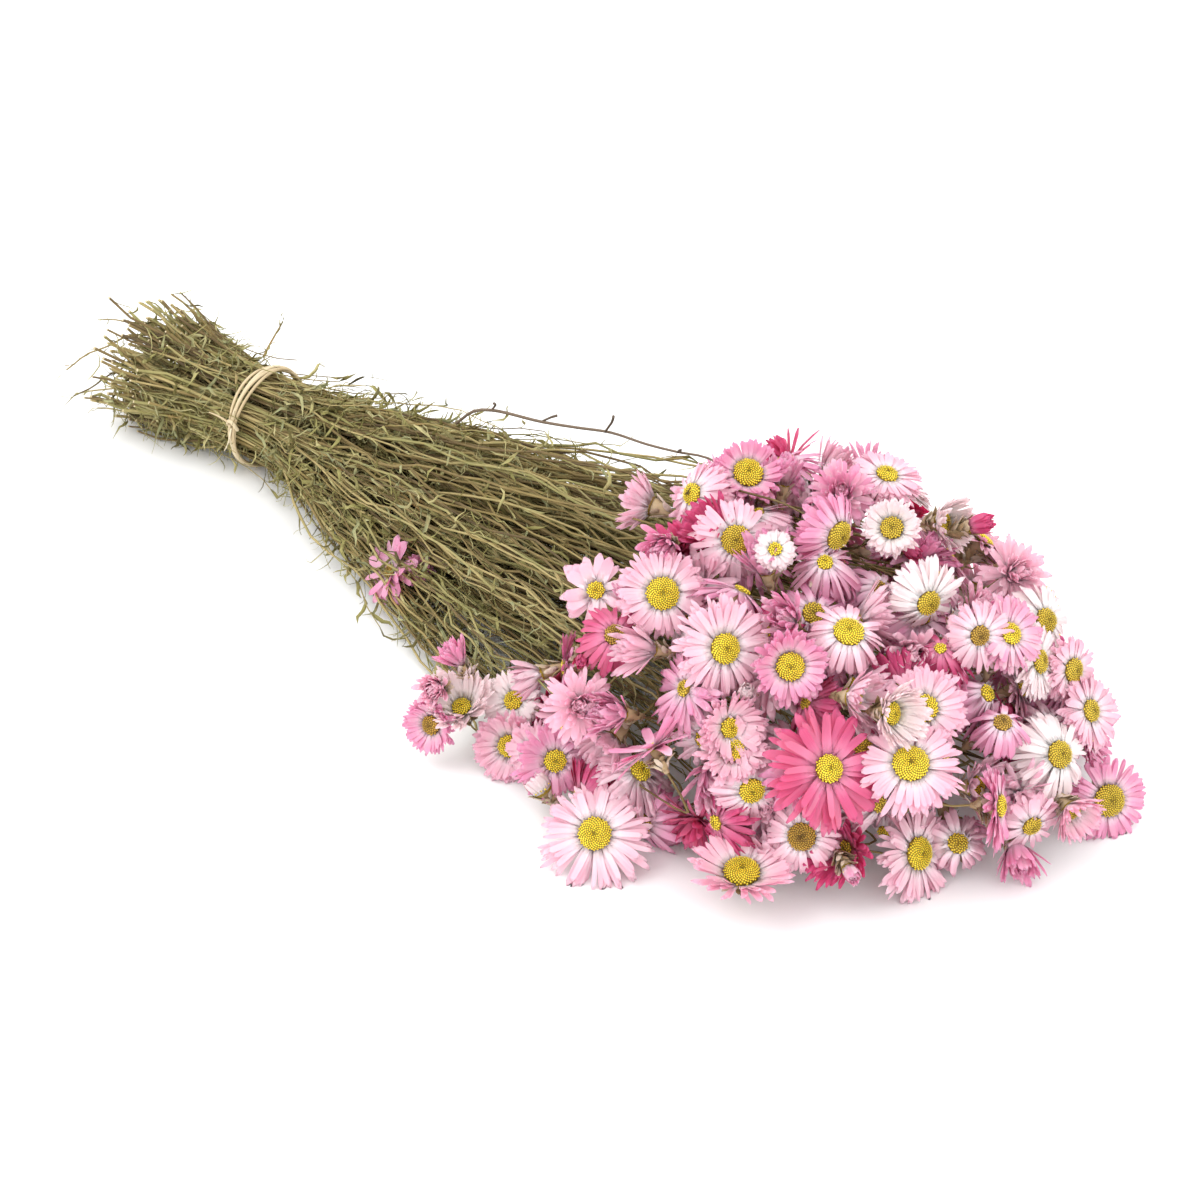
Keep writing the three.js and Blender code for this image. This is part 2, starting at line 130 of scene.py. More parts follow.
# Each spray: where it passes the tie (distance from the middle of the bundle
# and angle), how far its stems are turned round there, then its heads.
SPRAYS = (
    (RING, 110, -10, (
        Head(235, -29, 92, -105, 30, 31, 9, "light", "nodding", "bright"),
        Head(243, -10, 94, -38, 55, 27, 12, "mid", "bowl", "bright"),
        Head(263, -43, 92, -45, 30, 32, 12, "light", "nodding", "olive"),
        Head(292, -26, 98, -10, 0, 32, 12, "mid", "reflexed", "olive"),
    )),
    (RING, 70, 0, (
        Head(275, 2, 92, -60, 55, 30, 10, "mid", "full", "bright"),
        Head(254, 34, 70, 105, 50, 32, 11, "light", "open", "bright"),
        Head(269, 42, 74, 80, 55, 32, 12, "white", "open", "bright"),
        Head(305, 18, 85, 10, 25, 26, 9, "white", "cup", "olive"),
    )),
    (RING, 30, 0, (
        Head(236, 54, 36, 110, 35, 28, 10, "mid", "open", "bright"),
        Head(303, 48, 60, 75, 40, 34, 12, "light", "open", "bright"),
        Head(331, 49, 48, 50, 35, 32, 11, "white", "nodding", "olive"),
        Head(254, 73, 38, 95, 20, 34, 12, "rose", "open", "bright"),
    )),
    (RING, -10, 0, (
        Head(203, 74, 11, 115, 30, 30, 10, "white", "bowl", "bright"),
        Head(281, 84, 12, 90, 25, 34, 12, "light", "open", "bright"),
        Head(319, 74, 13, 60, 25, 34, 12, "mid", "open", "olive"),
    )),
    (RING, -50, 0, (
        Head(350, 48, 12, 45, 25, 32, 11, "light", "open", "bright"),
        Head(372, 15, 27, 20, 15, 28, 10, "mid", "bowl", "bright"),
        Head(387, 7, 11, -30, 30, 32, 13, "mid", "open", "olive"),
    )),
    (RING, -90, 0, (
        Head(377, -35, 12, -35, -15, 28, 8, "mid", "tulip", "olive"),
        Head(378, -14, 38, -15, 35, 35, 11, "white", "nodding", "olive"),
        Head(375, -46, 34, 20, 12, 30, 9, "mid", "open", "bright"),
        Head(355, -62, 14, -5, 25, 36, 13, "light", "open", "bright"),
    )),
    (RING, -130, 0, (
        Head(317, -108, 14, -50, 78, 38, 14, "light", "bowl", "bright"),
        Head(264, -120, 13, -55, 35, 40, 13, "light", "open", "bright"),
        Head(206, -96, 9, -65, 35, 28, 9, "light", "bowl", "bright"),
        Head(329, -91, 26, -60, 30, 28, 11, "light", "nodding", "brown"),
    )),
    (RING, 190, 0, (
        Head(233, -104, 20, -40, 30, 28, 9, "mid", "open", "bright"),
        Head(187, -99, 18, -75, 64, 34, 8, "white", "cup", "bright"),
        Head(245, -105, 49, -45, 40, 31, 9, "light", "full", "bright"),
        Head(311, -96, 40, -40, 15, 30, 10, "light", "reflexed", "bright"),
    )),
    (RING, 150, 0, (
        Head(228, -75, 73, -55, 40, 25, 7, "light", "star", "bright"),
        Head(246, -87, 68, -40, 55, 31, 9, "rose", "reflexed", "brown"),
        Head(255, -73, 82, -45, 40, 32, 13, "light", "open", "bright"),
        Head(287, -81, 78, -25, 30, 37, 12, "light", "open", "bright"),
    )),
    (MIDDLE, 90, 70, (
        Head(294, -34, 90, -50, 62, 32, 8, "mid", "skirt", "bright"),
        Head(328, -23, 84, -25, 8, 31, 10, "white", "reflexed", "olive"),
        Head(331, 25, 71, -15, 42, 32, 9, "light", "full", "bright"),
        Head(315, 21, 86, 30, 25, 24, 6, "rose", "bud", "bright"),
    )),
    (MIDDLE, 210, 0, (
        Head(317, -52, 81, -35, 65, 31, 12, "light", "reflexed", "bright"),
        Head(308, -72, 75, -45, 35, 28, 11, "mid", "bowl", "bright"),
        Head(335, -87, 54, -25, 40, 42, 11, "rose", "broad", "bright"),
        Head(355, -68, 54, -50, 55, 37, 14, "light", "open", "bright"),
    )),
    (MIDDLE, 330, 0, (
        Head(340, -31, 73, -45, 68, 30, 6, "rose", "skirt", "bright"),
        Head(348, -51, 64, -60, 45, 30, 11, "light", "open", "bright"),
        Head(368, -34, 57, -45, 66, 27, 9, "mid", "skirt", "brown"),
        Head(350, 17, 64, -10, 35, 29, 10, "white", "nodding", "olive"),
        Head(365, 12, 53, -5, 20, 26, 10, "light", "open", "olive"),
    )),
)

# Smaller heads between the others, each with the number of the spray that its
# stem joins.
SMALL_HEADS = (
    (1, Head(281, -45, 96, -50, 50, 15, 5.5, "white", "open", "bright")),
    (9, Head(246, -59, 91, -70, 25, 26, 6, "mid", "tulip", "brown")),
    (2, Head(303, -8, 95, -60, 45, 22, 9, "white", "bowl", "olive")),
    (2, Head(303, 0, 84, -20, 10, 22, 5, "rose", "bud", "bright")),
    (2, Head(278, 24, 90, 0, 75, 28, 9, "light", "open", "bright")),
    (12, Head(348, -21, 78, -30, 20, 27, 8, "light", "nodding", "brown")),
    (12, Head(359, -1, 61, 10, 25, 28, 10, "white", "open", "olive")),
    (11, Head(343, -65, 68, 0, 20, 28, 9, "white", "cup", "bright")),
    (11, Head(296, -80, 62, -50, 60, 21, 6, "white", "bud", "bright")),
    (5, Head(375, 9, 42, 0, 30, 28, 9, "light", "open", "olive")),
    (8, Head(280, -108, 48, 175, 48, 32, 5, "mid", "star", "bright")),
    (8, Head(297, -91, 56, -20, 25, 26, 8, "light", "bowl", "bright")),
    (8, Head(301, -93, 49, -50, 50, 27, 9, "light", "bowl", "bright")),
    (8, Head(219, -98, 14, -70, 25, 22, 8, "light", "open", "brown")),
    (8, Head(233, -110, 11, -140, 55, 25, 10, "white", "bud", "bright")),
    (9, Head(236, -92, 58, -60, 20, 19, 4, "rose", "bud", "bright")),
    (7, Head(346, -89, 20, -30, -5, 18, 5, "mid", "bud", "bright")),
    (7, Head(181, -105, 28, -70, 30, 20, 6, "light", "tulip", "brown")),
    (7, Head(183, -110, 16, -80, 20, 22, 8, "mid", "bowl", "brown")),
    (7, Head(183, -94, 32, -150, 60, 22, 4, "mid", "tulip", "bright")),
    (7, Head(202, -88, 22, -80, 45, 24, 8, "white", "open", "bright")),
    (6, Head(381, -33, 22, -30, 0, 26, 8, "light", "nodding", "olive")),
    (6, Head(388, -20, 24, -20, -5, 24, 8, "light", "cup", "olive")),
    (10, Head(353, -10, 74, -10, 45, 28, 9, "mid", "open", "bright")),
    (8, Head(109, -48, 17, -115, 35, 26, 6, "mid", "star", "brown")),
    (8, Head(117, -41, 18, -60, 35, 15, 4, "mid", "cup", "bright")),
)

# The dome that the heads make: its middle and half sizes.
DOME = Vector((265, -18, 24))
DOME_FRONT, DOME_BACK, DOME_SIDE, DOME_RISE = 118, 88, 98, 76
# Places on the dome where stems show between the heads: middle and radius.
CLEARINGS = (
    (244, -84, 52, 22),
    (216, -52, 62, 30),
    (196, -2, 70, 30),
    (275, -100, 40, 16),
    (262, 22, 92, 15),
)

# The place on the bunch that the camera looks at, and the side and height it
# looks from.
VIEW_MIDDLE = (188.8, -24.5, 26.1)
VIEW_AZIMUTH, VIEW_ELEVATION = math.radians(39), math.radians(34)

# Colours of a petal at its base, along its length and at its tip.
PETAL_COLOURS = {
    "light": ((0.98, 0.91, 0.93), (0.97, 0.69, 0.79), (0.95, 0.58, 0.73)),
    "mid": ((0.96, 0.72, 0.83), (0.88, 0.38, 0.62), (0.84, 0.32, 0.58)),
    "rose": ((0.84, 0.3, 0.46), (0.7, 0.06, 0.24), (0.74, 0.09, 0.3)),
    "white": ((0.98, 0.95, 0.94), (0.98, 0.9, 0.91), (0.97, 0.8, 0.86)),
}
# Colour of the palest petals and streaks, where it isn't the pale pink of the
# settings, and of the light that comes through.
PALE_COLOURS = {
    "rose": (0.86, 0.3, 0.48),
    "white": (0.98, 0.95, 0.94),
}
THROUGH_COLOURS = {
    "light": (0.98, 0.62, 0.74),
    "mid": (0.93, 0.4, 0.62),
    "rose": (0.85, 0.08, 0.28),
    "white": (1.0, 0.84, 0.85),
}
# Colours of a disc in its middle and at its rim.
DISC_COLOURS = {
    "bright": ((0.95, 0.66, 0.02), (1.0, 0.74, 0.05)),
    "olive": ((0.6, 0.44, 0.03), (0.76, 0.56, 0.05)),
    "brown": ((0.18, 0.09, 0.02), (0.56, 0.34, 0.05)),
}
# Colours of the dark eye in the middle of a disc and of the painted shade at its rim, where the disc's
# dome drops to the petals.
DISC_EYE = (0.16, 0.09, 0.01)
DISC_RIM_SHADE = (0.4, 0.22, 0.02)
# Colours of calyx, stems, leaves, cut ends, raffia and twig. The first one of
# several is the darkest.
CALYX_COLOURS = ((0.2, 0.12, 0.05), (0.5, 0.36, 0.2), (0.78, 0.66, 0.5), (0.86, 0.7, 0.66))
STEM_COLOURS = ((0.04, 0.025, 0.01), (0.17, 0.11, 0.035), (0.34, 0.25, 0.08), (0.55, 0.43, 0.18),
                (0.32, 0.3, 0.1), (0.45, 0.23, 0.07))
LEAF_COLOURS = ((0.06, 0.045, 0.02), (0.21, 0.18, 0.045), (0.36, 0.33, 0.1), (0.6, 0.53, 0.24),
                (0.34, 0.36, 0.17), (0.52, 0.28, 0.08))
PITH = (0.62, 0.52, 0.32)
RAFFIA_COLOURS = ((0.34, 0.24, 0.12), (0.6, 0.48, 0.29), (0.76, 0.65, 0.44), (0.86, 0.77, 0.58))
TWIG_COLOURS = ((0.05, 0.035, 0.025), (0.13, 0.09, 0.06), (0.24, 0.17, 0.11))

# Width along a petal, a calyx bract and a leaf, from the base to the tip.
PETAL_OUTLINE = ((0, 0.92), (0.3, 0.96), (0.6, 1.0), (0.86, 0.92), (1, 0.3))
BRACT_OUTLINE = ((0, 0.7), (0.4, 1.0), (0.75, 0.8), (1, 0.1))
LEAF_OUTLINE = ((0, 0.35), (0.25, 0.9), (0.6, 1.0), (0.85, 0.5), (1, 0.06))
# The solid back of a head: its depth, in metres, and its swell from stem to disc.
CONE_DEPTH = 0.0095
CONE_OUTLINE = ((0, 0.9), (0.35, 1.35), (0.7, 1.1), (1, 1.0))

# How fast a wavy leaf sways from side to side along its length.
WAVES = 8.0

# The dark bare twig that lies along the top of the bundle, with its side shoots,
# and straws that stick out at the cut ends and behind the heads.
TWIG = ((96, 4, 52), (104, 5, 60), (112, 6, 63), (137, 5, 68), (154, 5, 72), (170, 5, 76),
        (188, 3, 79), (203, 2, 82), (216, 3, 84), (232, 2, 82))
TWIG_SHOOTS = (
    ((168, 4, 76), (172, 3, 82), (176, -1, 88)),
    ((112, 6, 63), (114, 6, 66), (115, 4, 68)),
    ((137, 5, 68), (141, 6, 71), (143, 7, 72)),
    ((203, 2, 82), (206, 0, 85), (207, -2, 86)),
)
STRAWS = (
    ((-14, 8, 36), (-56, 12, 30), (-71, 7, 24), (-76, -7, 18), (-78, -18, 14), (-85, -24, 9)),
    ((-14, -4, 40), (-35, -5, 40), (-75, 1, 36), (-90, 0, 32)),
    ((-14, -10, 30), (-50, -3, 20), (-75, -7, 10), (-91, -15, 4)),
    ((-14, -14, 26), (-33, -3, 24), (-49, -21, 16), (-67, -28, 12)),
    ((-40, 10, 34), (-80, 4, 26), (-92, -4, 20), (-97, -16, 13)),
    ((-14, 14, 36), (-19, 24, 37), (-18, 28, 42), (-15, 27, 46)),
    ((220, 8, 70), (234, 22, 80), (241, 25, 81), (250, 26, 78)),
    ((222, 10, 66), (239, 19, 76), (248, 22, 74)),
)
# Strands of raffia: how far along the bundle each one lies, how far it wanders
# and its radius. Then the knot's angle round the bundle, in degrees.
RAFFIA_STRANDS = ((-2.1, 0.5, 0.55), (-1.3, -0.9, 0.65), (-0.2, 0.9, 0.6), (1.0, -0.8, 0.7),
                  (1.9, 0.6, 0.6))
KNOT_ANGLE = 165

# Heads that fill the dome: how many places are tried, the least distance to a
# large head, to a small one and to another of their own kind, and how often each
# colour, form and disc finish comes.
TRIES = 9000
LARGE_GAP, SMALL_GAP, UNDER_GAP = 12.0, 10.0, 14.0
UNDER_COLOURS = {"light": 44, "mid": 40, "white": 2, "rose": 14}
UNDER_FORMS = {
    "open": 6, "nodding": 12, "reflexed": 18, "skirt": 20, "cup": 12, "tulip": 16, "full": 16,
}
UNDER_FINISHES = {"bright": 45, "olive": 40, "brown": 15}
# Their height on the dome as a share of its rise, how deep they are sunk in it as
# a share of its size, their diameter and their disc's, and their least height.
UNDER_HEIGHTS = (-0.2, 1)
UNDER_SUNK = (0.08, 0.22)
UNDER_SIZES = (27, 34)
UNDER_DISCS = (6, 9)
UNDER_LEAST_HEIGHT = 10.0


def towards_camera(azimuth, elevation):
    """The way from the bunch to the camera."""
    return Vector((
        math.sin(azimuth) * math.cos(elevation),
        -math.cos(azimuth) * math.cos(elevation),
        math.sin(elevation),
    ))


def spot_of(head):
    """A head's place, measured from the tie and the surface."""
    return Vector((head.x, head.y, head.z))


def drawn(chance, shares):
    """One of the names, each as often as its share says."""
    return chance.choices(tuple(shares), tuple(shares.values()))[0]


def hides(place, spot, back):
    """Whether a head at place would cover the head at spot, as the camera sees them.

    One that lies close behind it and nearly in line is left out too."""
    ahead = (place - spot).dot(back)
    aside = (place - spot - back * ahead).length
    return ahead > -4 and aside < 14 or ahead > -40 and aside < 4


def under_heads():
    """Heads that fill the dome under and between the others, each with the spray it joins.

    None of them covers the middle of another head, as the camera sees them."""
    chance = random.Random(11)
    back = towards_camera(VIEW_AZIMUTH, VIEW_ELEVATION)
    placed = [(spot_of(head), number, LARGE_GAP) for number, (*_, heads) in enumerate(SPRAYS, 1)
              for head in heads]
    placed += [(spot_of(head), number, SMALL_GAP) for number, head in SMALL_HEADS]
    seen = [spot for spot, _, _ in placed]
    found = []
    for _ in range(TRIES):
        around = chance.uniform(-math.pi, math.pi)
        high = chance.uniform(*UNDER_HEIGHTS)
        flat = math.sqrt(1 - high * high)
        length = DOME_FRONT if abs(around) < math.pi / 2 else DOME_BACK
        way = Vector((flat * math.cos(around), flat * math.sin(around), high))
        sunk = 1 - chance.uniform(*UNDER_SUNK)
        place = DOME + Vector((
            way.x * length * sunk, way.y * DOME_SIDE * sunk, way.z * DOME_RISE * sunk,
        ))
        size = chance.uniform(*UNDER_SIZES)
        if any((place - spot).length < gap for spot, _, gap in placed):
            continue
        if any((place - Vector(middle)).length < radius for *middle, radius in CLEARINGS):
            continue
        if way.x < -0.75 and high < 0.55 or any(hides(place, spot, back) for spot in seen):
            continue
        facing = Vector((way.x / length, way.y / DOME_SIDE, way.z / DOME_RISE)).normalized()
        facing += Vector([chance.gauss(0, 0.45) for _ in range(3)])
        facing.normalize()
        turn = math.degrees(math.atan2(facing.y, facing.x))
        lift = math.degrees(math.asin(facing.z))
        spray = min(placed, key=lambda item: (item[0] - place).length)[1]
        colour = drawn(chance, UNDER_COLOURS)
        form = drawn(chance, UNDER_FORMS)
        finish = drawn(chance, UNDER_FINISHES)
        disc = chance.uniform(*UNDER_DISCS)
        place.z = max(place.z, UNDER_LEAST_HEIGHT)
        head = Head(place.x, place.y, place.z, turn, lift, size, disc, colour, form, finish)
        found.append((spray, head))
        placed.append((place, spray, UNDER_GAP))
    return found


UNDER_HEADS = under_heads()


class Value:
    """A socket that Python sums can be written with."""

    def __init__(self, graph, socket):
        self.graph = graph
        self.socket = socket

    def __add__(self, other):
        return self.graph.maths("ADD", self, other)

    def __radd__(self, other):
        return self.graph.maths("ADD", other, self)

    def __sub__(self, other):
        return self.graph.maths("SUBTRACT", self, other)

    def __rsub__(self, other):
        return self.graph.maths("SUBTRACT", other, self)

    def __mul__(self, other):
        return self.graph.maths("MULTIPLY", self, other)

    def __rmul__(self, other):
        return self.graph.maths("MULTIPLY", other, self)

    def __truediv__(self, other):
        return self.graph.maths("DIVIDE", self, other)

    def __rtruediv__(self, other):
        return self.graph.maths("DIVIDE", other, self)

    def __pow__(self, other):
        return self.graph.maths("POWER", self, other)


def is_vector(value):
    if isinstance(value, Value):
        return value.socket.type == "VECTOR"
    return isinstance(value, (tuple, Vector))


class Graph:
    """Adds nodes to one node tree."""

    def __init__(self, tree):
        self.tree = tree

    def node(self, kind, *inputs, named=None, **settings):
        """Adds a node. Its settings come first, then its inputs in order, then those by name."""
        node = self.tree.nodes.new(kind)
        for name, value in settings.items():
            setattr(node, name, value)
        open_sockets = [socket for socket in node.inputs if socket.enabled]
        for socket, value in zip(open_sockets, inputs):
            self.feed(socket, value)
        for name, value in (named or {}).items():
            self.feed(next(socket for socket in open_sockets if socket.name == name), value)
        return node

    def feed(self, socket, value):
        if isinstance(value, Value):
            self.tree.links.new(value.socket, socket)
        elif value is not None:
            socket.default_value = value

    def out(self, kind, *inputs, output=0, **rest):
        node = self.node(kind, *inputs, **rest)
        if isinstance(output, str):
            return Value(self, node.outputs[output])
        return Value(self, [socket for socket in node.outputs if socket.enabled][output])

    def maths(self, operation, *values, **settings):
        if any(is_vector(value) for value in values):
            first, second = values
            if operation == "MULTIPLY" and not (is_vector(first) and is_vector(second)):
                vector, number = (first, second) if is_vector(first) else (second, first)
                return self.out("ShaderNodeVectorMath", vector, number, operation="SCALE")
            return self.out("ShaderNodeVectorMath", first, second, operation=operation)
        return self.out("ShaderNodeMath", *values, operation=operation, **settings)

    def vector_maths(self, operation, *values):
        return self.out("ShaderNodeVectorMath", *values, operation=operation)

    def mix(self, factor, first, second, kind="FLOAT"):
        return self.out("ShaderNodeMix", factor, first, second, data_type=kind)

    def xyz(self, x, y, z):
        return self.out("ShaderNodeCombineXYZ", x, y, z)

    def parts(self, vector):
        node = self.node("ShaderNodeSeparateXYZ", vector)
        return [Value(self, socket) for socket in node.outputs]

    def profile(self, factor, points):
        """A smooth curve through points, as a value."""
        node = self.node("ShaderNodeFloatCurve", 1.0, factor)
        curve = node.mapping.curves[0]
        for _ in points[2:]:
            curve.points.new(0.5, 0.5)
        for point, place in zip(curve.points, points):
            point.location = place
        node.mapping.update()
        return Value(self, node.outputs[0])


class Shape(Graph):
    """Adds nodes to a Geometry Nodes tree."""

    def __init__(self, name, **inputs):
        super().__init__(bpy.data.node_groups.new(name, "GeometryNodeTree"))
        interface = self.tree.interface
        interface.new_socket("Geometry", in_out="INPUT", socket_type="NodeSocketGeometry")
        for label, default in inputs.items():
            kind = "Vector" if isinstance(default, tuple) else "Float"
            kind = "Int" if isinstance(default, int) else kind
            socket = interface.new_socket(
                label.replace("_", " ").capitalize(), in_out="INPUT", socket_type="NodeSocket" + kind
            )
            socket.default_value = default
        interface.new_socket("Geometry", in_out="OUTPUT", socket_type="NodeSocketGeometry")
        self.entry = self.node("NodeGroupInput")
        self.counter = 0

    def given(self, label):
        return Value(self, self.entry.outputs[label.replace("_", " ").capitalize()])

    def finish(self, *pieces):
        """Joins the pieces, makes copies real and ends the tree."""
        joined = self.node("GeometryNodeJoinGeometry")
        for piece in pieces:
            self.tree.links.new(piece.socket, joined.inputs[0])
        real = self.out("GeometryNodeRealizeInstances", Value(self, joined.outputs[0]))
        self.node("NodeGroupOutput", real)
        return self.tree

    def index(self):
        return self.out("GeometryNodeInputIndex")

    def position(self):
        return self.out("GeometryNodeInputPosition")

    def random(self, low, high):
        """A number between two limits, another one at each point."""
        self.counter += 1
        seed = self.given("Seed") + self.counter * 17
        return self.out(
            "FunctionNodeRandomValue", low, high, self.index(), seed, data_type="FLOAT"
        )

    def hold(self, geometry, **fields):
        """Keeps fields with the points that they are worked out on."""
        node = self.node("GeometryNodeCaptureAttribute", geometry)
        held = {}
        for number, (name, field) in enumerate(fields.items()):
            kind = "VECTOR" if is_vector(field) else "FLOAT"
            node.capture_items.new(kind, name)
            self.feed(node.inputs[number + 1], field)
            held[name] = Value(self, node.outputs[number + 1])
        return Value(self, node.outputs[0]), held

    def store(self, geometry, name, field, domain="POINT", kind="FLOAT"):
        return self.out(
            "GeometryNodeStoreNamedAttribute", geometry, True, name, field,
            data_type=kind, domain=domain,
        )

    def named(self, name):
        return self.out("GeometryNodeInputNamedAttribute", name, data_type="FLOAT")

    def move(self, geometry, place):
        return self.out("GeometryNodeSetPosition", geometry, True, place)

    def dress(self, geometry, material):
        smooth = self.out("GeometryNodeSetShadeSmooth", geometry, True, True, domain="FACE")
        return self.out("GeometryNodeSetMaterial", smooth, True, named={"Material": material})

    def on_points(self, points, shape, **rest):
        return self.out("GeometryNodeInstanceOnPoints", points, True, shape, **rest)

    def strips(self, points, outline, sides, sections, floor=None, **way):
        """One closed thin strip on each point, bent, twisted and narrowed along its length.

        It starts at base and goes the way of aim, and rise is the way that its face looks.
        Its shape is in length, width, wall, bend, twist, bow, gutter (how hollow it is across),
        sag, wave and phase. Where a floor is given, a strip's middle line stays above it."""
        blank = self.out(
            "GeometryNodeMeshCylinder", sides, sections, 1, 1.0, 1.0, fill_type="NGON"
        )
        x, y, z = self.parts(self.position())
        blank = self.store(blank, "across", x)
        blank = self.store(blank, "along", 1.0 - (0.5 - z) ** 1.5)
        blank, kept = self.hold(blank, face=y)
        rim = self.maths("GREATER_THAN", self.maths("ABSOLUTE", self.named("across")), 0.97)
        blank = self.store(blank, "sharp_edge", rim, domain="EDGE", kind="BOOLEAN")
        points, fields = self.hold(points, **way)
        real = self.out("GeometryNodeRealizeInstances", self.on_points(points, blank))
        along, across, face = self.named("along"), self.named("across"), kept["face"]
        bend = fields["bend"] + 0.0001
        angle = bend * along
        sine, cosine = self.maths("SINE", angle), self.maths("COSINE", angle)
        forward = fields["aim"] * (sine / bend)
        upward = fields["rise"] * ((1 - cosine) / bend)
        side = self.vector_maths("CROSS_PRODUCT", fields["aim"], fields["rise"])
        normal = fields["rise"] * cosine - fields["aim"] * sine
        turn = fields["twist"] * along
        turn_sine, turn_cosine = self.maths("SINE", turn), self.maths("COSINE", turn)
        flat = side * turn_cosine + normal * turn_sine
        thick = normal * turn_cosine - side * turn_sine
        half = fields["width"] * 0.5 * self.profile(along, outline)
        ripple = self.maths("SINE", along * WAVES + fields["phase"]) * fields["wave"] * along
        sideways = side * (fields["bow"] * along * along + ripple)
        droop = fields["sag"] * (along * along)
        middle = fields["base"] + (forward + upward + sideways + droop) * fields["length"]
        if floor is not None:
            x, y, z = self.parts(middle)
            middle = self.xyz(x, y, self.maths("MAXIMUM", z, floor))
        gutter = half * fields["gutter"] * across * across
        wall = fields["wall"] * face
        place = middle + flat * (half * across) + thick * (gutter + wall)
        return self.move(real, place)


def set_inputs(modifier, values):
    """Sets a modifier's inputs by their sockets' identifiers."""
    for item in modifier.node_group.interface.items_tree:
        if item.item_type == "SOCKET" and item.in_out == "INPUT" and item.name in values:
            modifier[item.identifier] = values[item.name]


def grown(name, tree, values, source=None):
    """Runs a tree on a mesh and returns the result as a plain mesh."""
    carrier = bpy.data.objects.new(name, source or bpy.data.meshes.new(name))
    bpy.context.scene.collection.objects.link(carrier)
    modifier = carrier.modifiers.new(name, "NODES")
    modifier.node_group = tree
    set_inputs(modifier, values)
    evaluated = carrier.evaluated_get(bpy.context.evaluated_depsgraph_get())
    mesh = bpy.data.meshes.new_from_object(evaluated)
    bpy.data.objects.remove(carrier)
    if not mesh.polygons:
        raise RuntimeError(f"{name} came out empty")
    return mesh


def on_the_surface(mesh):
    """Nothing reaches below the surface that the bunch lies on."""
    count = len(mesh.vertices)
    places = [0.0] * (3 * count)
    mesh.vertices.foreach_get("co", places)
    for upward in range(2, 3 * count, 3):
        places[upward] = max(places[upward], FACE_HEIGHT)
    mesh.vertices.foreach_set("co", places)
    mesh.update()


def piece_from(name, mesh, slot, *nodes):
    """Adds a finished piece that rides with the bunch and stands for its nodes."""
    on_the_surface(mesh)
    mesh.name = name
    piece = bpy.data.objects.new(name, mesh)
    bpy.context.scene.collection.objects.link(piece)
    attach(piece, "root")
    if nodes:
        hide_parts(*nodes)
    return piece


def new_material(name):
    material = bpy.data.materials.new(name)
    material.use_nodes = True
    graph = Graph(material.node_tree)
    shader = material.node_tree.nodes["Principled BSDF"]
    return material, graph, shader


def attribute(graph, name):
    return graph.out("ShaderNodeAttribute", attribute_name=name, output="Fac")


def rgba(colour):
    return (*colour, 1.0)


def bumped(graph, shader, height, strength, distance):
    bump = graph.out("ShaderNodeBump", strength, distance, named={"Height": height})
    graph.feed(shader.inputs["Normal"], bump)


def see_through(graph, shader, colour, share):
    """Lets some light through a thin papery sheet."""
    tree = graph.tree
    back = graph.node("ShaderNodeBsdfTranslucent", rgba(colour))
    blend = graph.node("ShaderNodeMixShader", share)
    output = tree.nodes["Material Output"]
    tree.links.new(shader.outputs[0], blend.inputs[1])
    tree.links.new(back.outputs[0], blend.inputs[2])
    tree.links.new(blend.outputs[0], output.inputs["Surface"])


def petal_material(name, base, middle, tip, pale, through):
    """Papery petals with fine lengthwise streaks, paler at the base."""
    material, graph, shader = new_material(name)
    along, across = attribute(graph, "along"), attribute(graph, "across")
    tint = attribute(graph, "tint")
    lines = graph.xyz(across * 5.0, along * 1.6, tint * 60.0)
    streak = graph.out("ShaderNodeTexNoise", lines, 1.0, 3.0, 0.6)
    blotch = graph.out("ShaderNodeTexNoise", graph.xyz(across, along * 2.0, tint * 31.0), 1.3, 2.0)
    inward = graph.out("ShaderNodeMapRange", along + blotch * 0.3, 0.2, 0.6)
    colour = graph.mix(inward, rgba(base), rgba(middle), "RGBA")
    outward = graph.out("ShaderNodeMapRange", along + streak * 0.3, 0.75, 1.25)
    colour = graph.mix(outward, colour, rgba(tip), "RGBA")
    colour = graph.mix(tint * tint * 0.7, colour, rgba(pale), "RGBA")
    lines_shade = graph.out("ShaderNodeMapRange", streak, 0.3, 0.75, 0.0, 0.42)
    colour = graph.mix(lines_shade, colour, rgba(pale), "RGBA")
    graph.feed(shader.inputs["Base Color"], colour)
    graph.feed(shader.inputs["Roughness"], streak * 0.2 + 0.45)
    bumped(graph, shader, streak, 0.5, 0.0003)
    share = graph.out("ShaderNodeMapRange", along, 0.1, 0.7, 0.28, 0.48)
    see_through(graph, shader, through, share)
    return material


def disc_material(name, middle, rim):
    """Tiny florets, darker in the middle of the disc, with painted shade round its rim."""
    material, graph, shader = new_material(name)
    along, tint = attribute(graph, "along"), attribute(graph, "tint")
    outward = graph.out("ShaderNodeMapRange", along + tint * 0.25, 0.2, 0.75)
    colour = graph.mix(outward, rgba(middle), rgba(rim), "RGBA")
    eye = graph.maths("LESS_THAN", along, 0.13)
    colour = graph.mix(eye * 0.85, colour, rgba(DISC_EYE), "RGBA")
    # Painted shade: the outermost rim of the disc is darkened towards the shade colour.
    rim_shade = graph.out("ShaderNodeMapRange", along, 0.93, 1.0, 0.0, 0.25)
    colour = graph.mix(rim_shade, colour, rgba(DISC_RIM_SHADE), "RGBA")
    grain = graph.out(
        "ShaderNodeTexNoise", graph.out("ShaderNodeTexCoord", output="Object"), 2500.0, 2.0
    )
    bright = tuple(min(1.0, part * 1.25) for part in rim)
    colour = graph.mix(tint * grain, colour, rgba(bright), "RGBA")
    graph.feed(shader.inputs["Base Color"], colour)
    graph.feed(shader.inputs["Roughness"], grain * 0.3 + 0.55)
    bumped(graph, shader, grain, 0.4, 0.0002)
    return material


